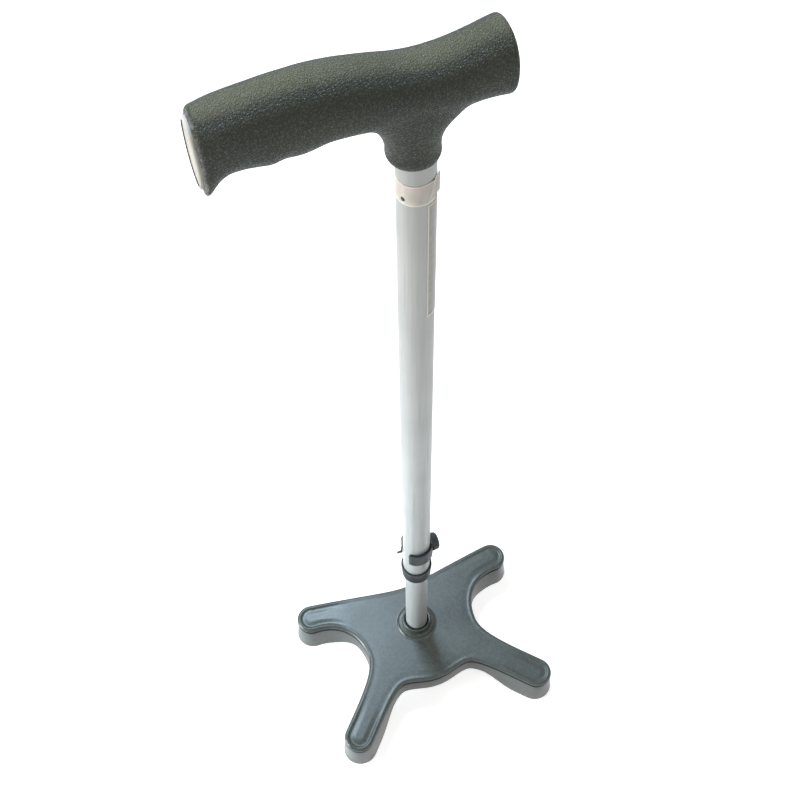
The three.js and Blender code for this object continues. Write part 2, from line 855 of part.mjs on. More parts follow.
// Upper tube and what rides on it
const shaft = addGroup(cane, upperTubeBottom);
addPiece(shaft, 'upper_tube', upperTube(), tubeAluminium);
addPiece(shaft, 'end_bush', endBush(), clipBlack);
addPiece(shaft, 'tape_band', tapeBand(), tapeWhite);
addPiece(shaft, 'label_strip', labelStrip(), tapeWhite);
addPiece(shaft, 'handle_pin', handlePin(), fastenerSteel);

// Handle
const handle = addGroup(shaft, upperTubeLength);
addPiece(handle, 'handle_grip', handleGrip(), gripGrey);
addPiece(handle, 'handle_core', handleCore(), coreNylon);
addPiece(handle, 'handle_end_cap', handleEndCap(), capWhite);

// Locking clip
const clip = addGroup(shaft, pinRise);
addPiece(clip, 'clip_body', clipBody(), clipBlack);
addPiece(clip, 'lock_pin', lockPin(), fastenerSteel);
addPiece(clip, 'clip_arm_rear', join(clipArm(rearArmAngle), clipFinger()), clipBlack);
const frontArm = addPiece(clip, 'clip_arm_front', clipArm(frontArmAngle), clipBlack, [0, 0, -2 * bandDrop]);
frontArm.rotation.x = Math.PI;

// The cane stands with the middle of its footprint box over the origin
const box = new THREE.Box3().setFromObject(cane, true);
cane.position.set(-(box.min.x + box.max.x) / 2, -(box.min.y + box.max.y) / 2, 0);

export default cane;
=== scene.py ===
import math

import bmesh
import bpy
import numpy as np
from mathutils import Matrix, Vector, geometry, noise


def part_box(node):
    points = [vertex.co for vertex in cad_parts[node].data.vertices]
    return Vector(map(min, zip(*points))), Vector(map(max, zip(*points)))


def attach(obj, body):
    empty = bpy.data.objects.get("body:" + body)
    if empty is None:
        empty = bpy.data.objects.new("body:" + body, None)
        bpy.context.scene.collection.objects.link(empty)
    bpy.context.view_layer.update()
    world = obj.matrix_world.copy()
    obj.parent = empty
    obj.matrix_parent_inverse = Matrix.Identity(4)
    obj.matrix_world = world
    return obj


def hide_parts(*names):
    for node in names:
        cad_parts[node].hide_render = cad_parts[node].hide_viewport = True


bl_info = {
    "name": "Walking cane on four feet",
    "version": (1, 0, 0),
    "blender": (4, 5, 0),
    "location": "3D View > Sidebar > Cane",
    "description": "Builds the moulded, drawn and wrapped surfaces of a height-adjustable cane",
    "category": "Object",
}

# Every length is in metres. While a piece is made, the shaft axis is x = y = 0 and the floor is
# z = 0. A finished piece is moved into the frame by SHAFT.
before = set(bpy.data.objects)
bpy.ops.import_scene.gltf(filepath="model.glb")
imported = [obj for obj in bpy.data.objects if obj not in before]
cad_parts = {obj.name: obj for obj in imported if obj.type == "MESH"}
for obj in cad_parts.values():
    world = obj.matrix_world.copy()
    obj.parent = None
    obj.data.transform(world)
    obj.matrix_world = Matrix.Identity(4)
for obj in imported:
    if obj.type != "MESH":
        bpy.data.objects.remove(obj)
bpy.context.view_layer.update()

MM = 0.001
FEET = ("front_inner", "front_outer", "rear_inner", "rear_outer")


def middle(node):
    """Middle of a node's box in the frame."""
    low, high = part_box(node)
    return (low + high) / 2


SHAFT = Vector((middle("lower_tube").x, middle("lower_tube").y, 0))


def bottom(node):
    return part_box(node)[0].z


def top(node):
    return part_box(node)[1].z


def half_width(node):
    low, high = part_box(node)
    return (high.y - low.y) / 2


def along_x(node):
    """Where a node starts and ends along X, measured from the shaft axis."""
    low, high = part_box(node)
    return low.x - SHAFT.x, high.x - SHAFT.x


def beside_shaft(node):
    """Where a node stands, seen from above and measured from the shaft axis."""
    return middle(node) - SHAFT


# Mesh settings. OVERRUN is how far a cutting tool reaches past a surface, and FIT is the gap
# between two pieces. QUARTER is a round edge: how far each place lies in and down, as shares.
MERGE = 0.001 * MM
TURN_STEPS = 96
KNOB_STEPS = 64
SMALL_STEPS = 32
BEND_POINTS = 20
ARC_POINTS = 24
ROUND_STEPS = 8
BAND_POINTS = 32
FINGER_POINTS = 16
CORNER_POINTS = 4
ARM_ROWS = 50
TAPE_GRID = (320, 28)
LABEL_GRID = (60, 160)
GRIP_SIDES = 72
GRIP_ROWS = 110
NECK_ROWS = 40
CORE_SIDES = 48
CAP_SIDES = 120
SHARP = math.radians(38)
EDGE = math.radians(50)
OVERRUN = 2 * MM
FIT = 0.3 * MM
QUARTER_TURNS = [math.pi / 2 * i / ROUND_STEPS for i in range(ROUND_STEPS + 1)]
QUARTER = [(1 - math.cos(turn), 1 - math.sin(turn)) for turn in QUARTER_TURNS]

# How far noise bends the cells of the grain
WARP = 0.0006

# The tape climbs over its own start at a share of its first turn, by a number of films. It lifts
# off at a share of its length, and each fold has a place along it and a lean. Creases and ripples
# are the density of their noise both ways, and the layer of noise.
LAP_START = 0.96
LAP_RISE = 1.6
LIFT_START = 0.965
FOLDS = ((0.9, 0.045), (0.955, 0.03))
CREASES = (2.6, 2.5, 4)
RIPPLES = (120, 60, 2)

# The grip's surface: rounds of smoothing, and how many waves of unevenness go into a metre
SKIN_ROUNDS = 6
MELT_ROUNDS = 320
UNEVEN_DENSITY = 260

# The crease between neck and bar is smoothed away between two soft borders above the neck's rim,
# and up to a third one away from the shaft, all in mm
MELT_START = (11, 17)
MELT_END = (36, 44)
MELT_REACH = (33, 43)

# Where the grip's end rims start to be rubbed and are fully rubbed, in mm from each end. The pale
# rear rim is rubbed wear and also a painted sheen.
NOSE_RUB = (2.6, 0.3)
REAR_RUB_AND_SHEEN = (3.5, 0.5)

# Camera, and lamps: the way from the cane to the lamp, the height of the place it shines at, its
# distance from there and its width, its colour, and its spread in degrees
CAMERA_PLACE = Vector((-0.15064, -0.38531, 1.06726))
CAMERA_TURN = (33.31627, 0.68066, -20.3)
CAMERA_LENS = 54
SENSOR = 36
LAMPS = {
    "key": ((-1, 0.18, 0.33), 0.3, 2.2, 1.1, (1.0, 0.96, 0.92), 180),
    "back": ((-0.1, 0.9, 1.3), 0.3, 1.58, 0.36, (0.64, 0.83, 1.0), 180),
    "low": ((-1, 0.02, 0.12), 0.08, 0.8, 0.3, (0.74, 0.9, 1.0), 60),
    "fill": ((0.5, -1, 0.5), 0.3, 2.4, 1.6, (1.0, 0.95, 0.86), 180),
}


def size(mm, name, description):
    """A length property, given in millimetres."""
    return bpy.props.FloatProperty(
        name=name, description=description, default=mm * MM, min=0, unit="LENGTH", precision=5
    )


def share(value, name, description):
    return bpy.props.FloatProperty(
        name=name, description=description, default=value, min=0, max=1, subtype="FACTOR"
    )


def power(watts, name, description):
    return bpy.props.FloatProperty(
        name=name, description=description, default=watts, min=0, unit="POWER"
    )


def angle(degrees, name, description):
    return bpy.props.FloatProperty(
        name=name, description=description, default=math.radians(degrees), subtype="ANGLE"
    )


def linear(level):
    """Linear light for one 0 to 255 screen level."""
    value = level / 255
    return value / 12.92 if value <= 0.04045 else ((value + 0.055) / 1.055) ** 2.4


def tint(red, green, blue, name, description):
    """A colour property, given in 0 to 255 screen levels."""
    return bpy.props.FloatVectorProperty(
        name=name,
        description=description,
        default=(linear(red), linear(green), linear(blue)),
        min=0,
        max=1,
        size=3,
        subtype="COLOR",
    )


class CaneBaseSizes(bpy.types.PropertyGroup):
    foot_rim: size(13, "Foot rim", "Radius of the top plate round each foot")
    straight_edge: size(37.2, "Straight edge", "Distance of the straight side from the shaft")
    bulge: size(56, "Bulge", "Distance of the bulging side from the shaft")
    waist_x: size(52.5, "Waist reach", "Distance of the waist from the shaft, along the cane")
    waist_y: size(15, "Waist offset", "Distance of the waist from the shaft, across the cane")
    notch_x: size(30, "Notch reach", "Distance of the notch from the shaft, along the cane")
    notch_y: size(51, "Notch offset", "Distance of the notch from the shaft, across the cane")
    inner_edge: angle(8, "Straight edge angle", "How far the straight side turns at a foot")
    outer_leg: angle(47, "Leg angle", "Angle of the two legs on the bulging side")
    edge_round: size(2.5, "Edge round", "Radius of the cover's upper edge")
    bead_rise: size(0.4, "Bead rise", "Height of the bead along the cover's rim at a foot")
    bead_width: size(2.6, "Bead fall", "Width over which the bead falls to the valley inside it")
    valley: size(0.45, "Valley", "Depth of the valley inside the bead at a foot")
    valley_width: size(5, "Valley rise", "Width over which the valley rises to the plate")
    cover_wall: size(2.4, "Cover wall", "Wall of the base cover")
    cover_plate: size(3, "Cover plate", "Thickness of the cover's top plate")
    groove: size(0.8, "Joint groove", "Depth of the groove under the cover's rim")
    joint: size(2.0, "Joint rise", "Height of the visible joint above the cover's node")
    skirt: size(2.1, "Skirt", "Width of the cover's raised ring round the socket")
    skirt_rise: size(1.2, "Skirt rise", "Height of the cover's raised ring round the socket")
    flare: size(2.1, "Wall flare", "How far the body's wall leans out at the floor")
    body_wall: size(2.6, "Body wall", "Wall of the base body")
    arch: size(13, "Arch", "Height of the body's wall above the floor between the feet")
    lift: size(1.2, "Wall lift", "Height of the body's wall above the floor at the feet")
    arch_start: size(18, "Arch start", "Distance from a foot at which the wall starts to rise")
    arch_end: size(50, "Arch end", "Distance from a foot at which the wall stops rising")
    rib: size(2.4, "Rib", "Thickness of the ribs under the base")
    rib_depth: size(6, "Rib depth", "Depth of the ribs under the base")
    # Painted shade: the band on each side of the joint is darkened in colour, in place of the shade
    # under the cover's rim
    joint_gap: size(0.9, "Joint gap", "Gap between the cover's rim and the body's")
    shade_band: size(1.9, "Shade band", "How far the dirt reaches on each side of the joint")
    soft: size(0.5, "Soft edge", "Radius of the base's small edges")


class CaneTubeSizes(bpy.types.PropertyGroup):
    wall: size(1.2, "Tube wall", "Wall of both tubes")
    hole: size(2.5, "Pin hole", "Radius of the holes for the locking pin")
    edge: size(0.25, "Tube edge", "Radius of the edges at a tube's ends")


class CaneClipSizes(bpy.types.PropertyGroup):
    band: size(2.1, "Band", "Thickness of the clip's band")
    root: angle(28, "Root", "Half of the angle that the clip's rigid root spans")
    front_end: angle(142, "Front arm", "Angle at which the front arm ends")
    rear_end: angle(143, "Rear arm", "Angle at which the rear arm ends")
    finger_end: angle(165, "Finger", "Angle at which the rear arm's finger ends")
    finger: size(1.4, "Finger thickness", "Thickness of the rear arm's finger")
    finger_height: size(4.6, "Finger height", "Height of the rear arm's finger")
    lip: size(3.4, "Lip", "Reach of the finger's lip away from the tube")
    tip: size(1.4, "Tip", "Radius that ends each arm")
    button: size(7.2, "Button", "Radius of the button")
    button_round: size(2.8, "Button round", "Radius of the button's rim")
    corner: size(2.6, "Corner", "Radius of the corners at an arm's tip, seen from outside")
    edge: size(0.4, "Edge round", "Radius of the band's edges")
    finger_edge: size(0.2, "Finger edge", "Radius of the edges of the rear arm's finger")
    button_flare: size(0.8, "Button flare", "How much the button widens where it meets the band")
    dish: size(0.4, "Dish", "Depth of the hollow in the button's face")
    pin_cover: size(2, "Pin cover", "Depth of the bore's end below the button's face")
    pin_tip: size(0.6, "Pin tip", "Radius of the edges of the locking pin")


class CaneHandleSizes(bpy.types.PropertyGroup):
    half_height: size(20, "Half height", "Height of the grip above its axis, before its waves")
    half_width: size(18, "Half width", "Half of the grip's width, before its waves")
    axis_rise: size(13, "Axis rise", "Height of the grip's axis above the tube's top end")
    end_round: size(2.6, "End round", "Radius of the grip's two end rims")
    neck_shift: size(1.5, "Neck shift", "How far the neck sits behind the shaft axis")
    neck_length: size(14.2, "Neck half length", "Half of the neck's rim, along the grip")
    neck_width: size(13.5, "Neck half width", "Half of the neck's rim, across the grip")
    cap_height: size(19, "Cap half height", "Half of the end cap's height")
    cap_width: size(14, "Cap half width", "Half of the end cap's width")
    cap_drop: size(8.3, "Cap drop", "How far the cap's centre lies below the grip's axis")
    cap_recess: size(0.9, "Cap recess", "Depth of the recess that the cap sits in")
    cap_round: size(1.2, "Cap round", "Radius of the cap's rim")
    cap_step: size(0.6, "Cap step", "Depth of the cap's inner field below its border")
    core_width: size(8.4, "Core half width", "Half of the width of the core inside the grip")
    core_height: size(9.6, "Core half height", "Half of the height of the core inside the grip")
    voxel: size(0.58, "Skin detail", "Edge length of the grip's mesh")
    unevenness: size(0.05, "Unevenness", "Height of the slight waves in the moulded skin")


class CaneColours(bpy.types.PropertyGroup):
    base: tint(48, 54, 50, "Base plastic", "Colour of the moulded base")
    grip: tint(44, 48, 42, "Grip plastic", "Colour of the soft grip")
    clip: tint(34, 38, 41, "Clip plastic", "Colour of the clip and the bush")
    aluminium: tint(180, 181, 178, "Aluminium", "Colour of the tubes")
    cap: tint(208, 206, 199, "Cap plastic", "Colour of the end cap")
    tape: tint(230, 224, 214, "Tape", "Colour of the tape band")
    rubber: tint(54, 57, 56, "Rubber", "Colour of the foot pads")
    steel: tint(168, 170, 172, "Steel", "Colour of the screws, the bolt and the pin")
    nylon: tint(206, 204, 194, "Nylon", "Colour of the inner plugs and the core")
    grip_blotch: tint(48, 53, 38, "Grip blotches", "Colour of the olive blotches on the grip")
    # Dust and painted top light on the grip's upward faces
    grip_dust_and_top_light: tint(118, 116, 92, "Grip dust and top light", "Colour of the dust on the grip's top")
    # The rear rim's pale grey is rubbed wear and a painted sheen
    rear_wear_and_sheen: tint(150, 149, 145, "Rear wear and sheen", "Colour of the rubbed rim at the grip's rear end")
    nose_wear: tint(122, 112, 98, "Nose wear", "Colour of the rubbed rim at the grip's nose")
    # Painted shade in the step inside the cap's border
    cap_step: tint(84, 82, 84, "Cap step", "Colour of the line inside the cap's border")
    tape_top: tint(226, 206, 206, "Tape top", "Colour of the tape's upper half")
    tape_edge: tint(240, 236, 222, "Tape edge", "Colour of the tape's pale border")
    label_edge: tint(240, 234, 210, "Label edge", "Colour of the label's pale border")


class CaneStudio(bpy.types.PropertyGroup):
    key_power: power(38, "Key light", "Power of the soft light on the left")
    back_power: power(20, "Back light", "Power of the cool light behind the cane")
    low_power: power(1, "Low light", "Power of the cool light beside the base")
    fill_power: power(8, "Fill light", "Power of the weak warm light in front")
    sky: share(0.3, "Sky", "Level of the even light from all round")
    floor: share(0.8, "Floor", "Brightness of the floor as lit")
    glow: share(0.74, "Floor glow", "Even light that the camera sees on the floor")


GROUPS = {
    "cane_base": CaneBaseSizes,
    "cane_tube": CaneTubeSizes,
    "cane_clip": CaneClipSizes,
    "cane_handle": CaneHandleSizes,
    "cane_colours": CaneColours,
    "cane_studio": CaneStudio,
}

# Reach of the curve handles at the two ends of each bend of the base outline, as shares of the
# bend's span
STRAIGHT_EDGE_SHARES = (0.17, 0.5)
SIDE_UPPER_SHARES = (0.44, 0.4)
SIDE_LOWER_SHARES = (0.2, 0.5)
OUTER_LEG_SHARES = (0.5, 0.15)
BULGE_SHARES = (0.33, 0.43)

# The cover's raised ring round the socket: the way out as a share of its width, then the height as
# a share of its height
SKIRT_SHARES = ((0, 0), (0, 0.9), (0.15, 1), (0.4, 0.75), (0.7, 0.2), (1, 0))

# Length and width of the cross recess in a screw, as shares of the screw's radius
RECESS_SHARES = (1.1, 0.308)

# Outside of the bush, as places in mm in from its widest part: first up from its lower end, then
# down from its rim
BUSH_FOOT = ((1.3, 0), (0.95, 0.12), (0.75, 0.5))
BUSH_RIM = ((0.25, 5), (0, 3.2), (0, 0.8), (0.2, 0.25), (0.6, 0))

# Grip sections from the rear end to the nose: the place along the grip, then the height of the
# top and the depth of the underside as shares of the half height, then the half width
GRIP_SECTION_SHARES = (
    (0.0, 0.74, 1.66, 0.945),
    (0.02, 0.77, 1.5, 0.95),
    (0.045, 0.8, 1.22, 0.955),
    (0.075, 0.84, 1.03, 0.965),
    (0.115, 0.88, 0.97, 0.98),
    (0.165, 0.93, 1.0, 0.995),
    (0.215, 0.98, 1.06, 1.0),
    (0.255, 1.01, 0.98, 1.0),
    (0.295, 1.03, 1.0, 1.005),
    (0.34, 1.045, 0.95, 1.01),
    (0.385, 1.03, 0.84, 1.015),
    (0.445, 1.0, 0.82, 1.005),
    (0.51, 0.93, 0.86, 1.0),
    (0.575, 0.84, 0.87, 0.99),
    (0.64, 0.73, 0.87, 0.975),
    (0.705, 0.675, 0.87, 0.96),
    (0.77, 0.69, 0.87, 0.955),
    (0.835, 0.77, 0.87, 0.95),
    (0.895, 0.885, 0.83, 0.95),
    (0.955, 1.01, 0.82, 0.985),
    (1.0, 1.075, 0.835, 1.02),
)

# Neck sections from its rim up into the grip: the height as a share of the neck's depth, the rear
# and front reach as shares of its half length, and the half width as a share of its half width
NECK_SECTION_SHARES = (
    (0.0, 0.92, 0.92, 0.92),
    (0.045, 0.99, 0.99, 0.99),
    (0.25, 1.03, 1.01, 1.01),
    (0.4, 1.12, 1.05, 1.05),
    (0.53, 1.25, 1.15, 1.09),
    (0.67, 1.42, 1.4, 1.13),
    (0.8, 1.7, 1.85, 1.16),
    (0.97, 2.4, 2.3, 1.2),
    (1.3, 2.4, 2.3, 1.2),
)


# Mesh helpers
def ring_edges(bm, ring):
    """Edges of a closed ring of vertices, made where they are missing."""
    pairs = zip(ring, ring[1:] + ring[:1])
    return [bm.edges.get(pair) or bm.edges.new(pair) for pair in pairs]


def first_ring(bm, places):
    ring = [bm.verts.new(place) for place in places]
    ring_edges(bm, ring)
    return ring


def next_ring(bm, ring, places):
    """Extrudes a ring and puts each new vertex at its place."""
    made = bmesh.ops.extrude_edge_only(bm, edges=ring_edges(bm, ring))["geom"]
    fresh = {item for item in made if isinstance(item, bmesh.types.BMVert)}
    twins = []
    for vert, place in zip(ring, places):
        twin = next(e.other_vert(vert) for e in vert.link_edges if e.other_vert(vert) in fresh)
        twin.co = place
        twins.append(twin)
    return twins


def skin(bm, rings):
    """Skin over a row of rings, with open ends. Returns its first and last ring."""
    first = last = first_ring(bm, rings[0])
    for places in rings[1:]:
        last = next_ring(bm, last, places)
    return first, last


def lofted(rings, *layers):
    """Closed solid over a row of rings, with empty layers of numbers on its vertices."""
    bm = bmesh.new()
    for layer in layers:
        bm.verts.layers.float.new(layer)
    for ring in skin(bm, rings):
        bm.faces.new(ring)
    bmesh.ops.recalc_face_normals(bm, faces=bm.faces)
    return bm


def turned(profile, place=(0, 0), steps=TURN_STEPS):
    """Solid turned from (radius, height) points about an upright axis.

    A row that starts and ends on the axis is open, and any other row is closed.
    """
    bm = bmesh.new()
    x, y = place
    row = [bm.verts.new((x + radius, y, z)) for radius, z in profile]
    edges = [bm.edges.new(pair) for pair in zip(row, row[1:])]
    if profile[0][0] > MERGE or profile[-1][0] > MERGE:
        edges.append(bm.edges.new((row[-1], row[0])))
    bmesh.ops.spin(
        bm,
        geom=row + edges,
        cent=(x, y, 0),
        axis=(0, 0, 1),
        dvec=(0, 0, 0),
        angle=math.tau,
        steps=steps,
        space=Matrix.Identity(4),
        use_merge=True,
        use_normal_flip=False,
        use_duplicate=False,
    )
    bmesh.ops.remove_doubles(bm, verts=bm.verts, dist=MERGE)
    bmesh.ops.recalc_face_normals(bm, faces=bm.faces)
    return bm


def rod(radius, low, high, place=(0, 0), steps=TURN_STEPS):
    return turned([(0, low), (radius, low), (radius, high), (0, high)], place, steps)


def sleeve(outer, inner, low, high, place=(0, 0)):
    return turned([(inner, low), (outer, low), (outer, high), (inner, high)], place)


def block(lengths, place):
    """Cuboid with its middle at a place."""
    bm = bmesh.new()
    bmesh.ops.create_cube(bm, size=1)
    bmesh.ops.scale(bm, vec=lengths, verts=bm.verts)
    bmesh.ops.translate(bm, vec=place, verts=bm.verts)
    return bm


def raised(outline, low, high):
    """Solid between two levels over an outline of (x, y) places."""
    bm = bmesh.new()
    face = bm.faces.new([bm.verts.new((x, y, low)) for x, y in outline])
    made = bmesh.ops.extrude_face_region(bm, geom=[face])["geom"]
    upper = [item for item in made if isinstance(item, bmesh.types.BMVert)]
    bmesh.ops.translate(bm, verts=upper, vec=(0, 0, high - low))
    bmesh.ops.recalc_face_normals(bm, faces=bm.faces)
    return bm


def spun(bm, turn, axis):
    """Turns a solid about an axis through the origin."""
    matrix = Matrix.Rotation(turn, 3, axis)
    bmesh.ops.rotate(bm, cent=(0, 0, 0), matrix=matrix, verts=bm.verts)
    return bm


def pointing(bm, level, turn=0.0):
    """Lays an upright solid down, so that it points out from the shaft axis at a level."""
    spun(spun(bm, math.pi / 2, "Y"), turn, "Z")
    bmesh.ops.translate(bm, vec=(0, 0, level), verts=bm.verts)
    return bm


def cross_rod(radius, start, end, level, turn=0.0):
    return pointing(rod(radius, start, end, steps=SMALL_STEPS), level, turn)


def round_edges(bm, radius):
    """Rounds the sharp edges of a solid."""
    sharp = [e for e in bm.edges if len(e.link_faces) == 2 and e.calc_face_angle() > EDGE]
    bmesh.ops.bevel(
        bm,
        geom=sharp,
        offset=radius,
        offset_type="OFFSET",
        segments=3,
        profile=0.5,
        affect="EDGES",
        clamp_overlap=True,
        material=-1,
    )
    return bm


def fill_between(bm, *rings):
    """Flat faces over the outer ring, with the other rings as holes in them."""
    edges = [edge for ring in rings for edge in ring_edges(bm, ring)]
    bmesh.ops.triangle_fill(bm, use_beauty=True, use_dissolve=False, edges=edges)


def arc(radius, start, end, points, centre=(0, 0)):
    """(x, y) places along an arc, both ends included."""
    turns = [start + (end - start) * i / (points - 1) for i in range(points)]
    return [(centre[0] + radius * math.cos(t), centre[1] + radius * math.sin(t)) for t in turns]


def circle_places(radius, level):
    turns = [math.tau * i / TURN_STEPS for i in range(TURN_STEPS)]
    return [Vector((radius * math.cos(t), radius * math.sin(t), level)) for t in turns]


def oval_ring(x, centre, rise, half, sides, power=0.9):
    """Places round a full oval across X."""

    def fill(value):
        return math.copysign(abs(value) ** power, value)

    turns = [math.tau * i / sides for i in range(sides)]
    return [Vector((x, fill(math.cos(t)) * half, centre + fill(math.sin(t)) * rise)) for t in turns]


def smooth_rows(rows, places):
    """Smooth values between the rows of a table, at places along its first column."""
    table = np.array(rows)
    along, values = table[:, 0], table[:, 1:]
    slopes = np.gradient(values, along, axis=0)
    at = np.clip(places, along[0], along[-1])
    row = np.clip(np.searchsorted(along, at, side="right") - 1, 0, len(along) - 2)
    span = (along[row + 1] - along[row])[:, None]
    t = (at - along[row])[:, None] / span
    from_value = (2 * t**3 - 3 * t**2 + 1) * values[row]
    to_value = (3 * t**2 - 2 * t**3) * values[row + 1]
    from_slope = (t**3 - 2 * t**2 + t) * span * slopes[row]
    to_slope = (t**3 - t**2) * span * slopes[row + 1]
    return from_value + to_value + from_slope + to_slope


def smoothstep(low, high, value):
    t = min(max((value - low) / (high - low), 0), 1)
    return t * t * (3 - 2 * t)


def solid(name, bm):
    """A bmesh as a new object."""
    mesh = bpy.data.meshes.new(name)
    bm.to_mesh(mesh)
    bm.free()
    made = bpy.data.objects.new(name, mesh)
    bpy.context.scene.collection.objects.link(made)
    return made


def settle(piece):
    """Applies a piece's modifiers."""
    bpy.context.view_layer.update()
    evaluated = piece.evaluated_get(bpy.context.evaluated_depsgraph_get())
    finished = bpy.data.meshes.new_from_object(evaluated)
    old = piece.data
    piece.modifiers.clear()
    piece.data = finished
    bpy.data.meshes.remove(old)
    finished.name = piece.name


def carve(piece, tools, operation="DIFFERENCE"):
    """Joins bmesh solids to a piece, or cuts them from it."""
    others = [solid("tool", bm) for bm in tools]
    for other in others:
        modifier = piece.modifiers.new("carve", "BOOLEAN")
        modifier.operation = operation
        modifier.solver = "EXACT"
        modifier.object = other
    settle(piece)
    bm = bmesh.new()
    bm.from_mesh(piece.data)
    bmesh.ops.remove_doubles(bm, verts=bm.verts, dist=MERGE)
    bmesh.ops.dissolve_degenerate(bm, edges=bm.edges, dist=MERGE)
    bm.to_mesh(piece.data)
    bm.free()
    for other in others:
        mesh = other.data
        bpy.data.objects.remove(other)
        bpy.data.meshes.remove(mesh)


def place_piece(piece, body, slot, node):
    """Moves a finished mesh into the frame, smooths its shading, gives it the material named by its
    slot, hangs it on its body and hides the node's CAD part.
    """
    mesh = piece.data
    mesh.transform(Matrix.Translation(SHAFT))
    mesh.shade_smooth()
    mesh.set_sharp_from_angle(angle=SHARP)
    mesh.materials.clear()
    mesh.materials.append(finish(slot))
    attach(piece, body)
    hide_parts(node)


# Materials
class Nodes:
    """Adds nodes to one shader tree."""

    def __init__(self, tree):
        self.tree = tree

    def feed(self, socket, value):
        """Links a socket to another one, or sets its value."""
        if isinstance(value, bpy.types.NodeSocket):
            self.tree.links.new(value, socket)
        else:
            socket.default_value = value

    def put(self, kind, inputs=None, **settings):
        """Adds a node and returns its outputs. Its inputs are given by name or by index."""
        made = self.tree.nodes.new(kind)
        for name, value in settings.items():
            setattr(made, name, value)
        for name, value in (inputs or {}).items():
            self.feed(made.inputs[name], value)
        return made.outputs

    def noise(self, vector, scale, detail, roughness=0.5):
        inputs = {"Vector": vector, "Scale": scale, "Detail": detail, "Roughness": roughness}
        return self.put("ShaderNodeTexNoise", inputs)

    def map_range(self, value, from_low, from_high, to_low=0.0, to_high=1.0):
        """A value moved from one range to another, clamped."""
        inputs = {"Value": value, "From Min": from_low, "From Max": from_high}
        inputs.update({"To Min": to_low, "To Max": to_high})
        return self.put("ShaderNodeMapRange", inputs)["Result"]

    def mix(self, factor, first, second):
        inputs = {0: factor, 6: first, 7: second}
        return self.put("ShaderNodeMix", inputs, data_type="RGBA")[2]

    def calculate(self, operation, first, second):
        return self.put("ShaderNodeMath", {0: first, 1: second}, operation=operation)[0]


class Group(Nodes):
    """A node group that takes a place, a scale and extra numbers, and gives numbers."""

    def __init__(self, name, scale, outputs, **extra):
        super().__init__(bpy.data.node_groups.new(name, "ShaderNodeTree"))
        add = self.tree.interface.new_socket
        add("Vector", in_out="INPUT", socket_type="NodeSocketVector")
        for socket, value in {**extra, "Scale": scale}.items():
            made = add(socket, in_out="INPUT", socket_type="NodeSocketFloat")
            made.default_value = value
        for socket in outputs:
            add(socket, in_out="OUTPUT", socket_type="NodeSocketFloat")
        self.given = self.put("NodeGroupInput")
        self.vector = self.given["Vector"]
        self.scale = self.given["Scale"]
        self.out = self.tree.nodes.new("NodeGroupOutput").inputs


def grain_group():
    """Pebbled skin of soft plastic: cells with fine pores on them, and spots for painted glints."""
    group = Group("pebbled grain", 800.0, ("Height", "Glint"))
    place = {"Vector": group.vector, "Scale": group.scale}
    warp = group.noise(group.vector, group.scale, 1.0)["Color"]
    bend = {0: warp, 1: (WARP, WARP, WARP), 2: group.vector}
    bent = group.put("ShaderNodeVectorMath", bend, operation="MULTIPLY_ADD")[0]
    cells = group.put("ShaderNodeTexVoronoi", {**place, "Vector": bent}, feature="DISTANCE_TO_EDGE")
    raised_cells = group.map_range(cells["Distance"], 0.0, 0.28)
    pores = group.noise(group.vector, group.calculate("MULTIPLY", group.scale, 3.1), 3.0)["Fac"]
    fine = group.map_range(pores, 0.3, 0.7, 0.0, 0.4)
    group.feed(group.out["Height"], group.calculate("ADD", raised_cells, fine))
    spots = group.put("ShaderNodeTexVoronoi", place, feature="F1")["Distance"]
    group.feed(group.out["Glint"], group.map_range(spots, 0.12, 0.5, 1.0, 0.0))
    return group.tree


def speckle_group():
    """Fine spark-eroded texture of hard moulded plastic."""
    group = Group("fine speckle", 1400.0, ("Height", "Speck"))
    group.feed(group.out["Height"], group.noise(group.vector, group.scale, 3.0, 0.6)["Fac"])
    coarse_scale = group.calculate("MULTIPLY", group.scale, 0.45)
    coarse = group.noise(group.vector, coarse_scale, 2.0)["Fac"]
    group.feed(group.out["Speck"], group.map_range(coarse, 0.35, 0.65))
    return group.tree


def mottle_group():
    """Soft blotches, some centimetres wide."""
    group = Group("mottle", 30.0, ("Mask",))
    blotches = group.noise(group.vector, group.scale, 4.0)["Fac"]
    group.feed(group.out["Mask"], group.map_range(blotches, 0.35, 0.65))
    return group.tree


def streak_group():
    """Fine lines along Z, as drawing and brushing leave them on a tube."""
    group = Group("drawn streaks", 900.0, ("Mask", "Scratch"))
    stretch = {"Vector": group.vector, "Scale": (1.0, 1.0, 0.02)}
    stretched = group.put("ShaderNodeMapping", stretch)["Vector"]
    lines = group.noise(stretched, group.scale, 4.0)["Fac"]
    group.feed(group.out["Mask"], group.map_range(lines, 0.3, 0.7))
    rare = group.noise(stretched, 420.0, 2.0)["Fac"]
    group.feed(group.out["Scratch"], group.map_range(rare, 0.66, 0.74))
    return group.tree


def edge_mark_group():
    """Turns an edge mark attribute into a broken-up mask."""
    group = Group("edge wear", 260.0, ("Mask",), Wear=0.0)
    patches = group.noise(group.vector, group.scale, 4.0)["Fac"]
    marked = group.calculate("ADD", group.given["Wear"], patches)
    group.feed(group.out["Mask"], group.map_range(marked, 0.95, 1.45))
    return group.tree


def shade(colour, factor):
    """A colour times a factor, with full alpha."""
    return (*[min(channel * factor, 1) for channel in colour], 1)


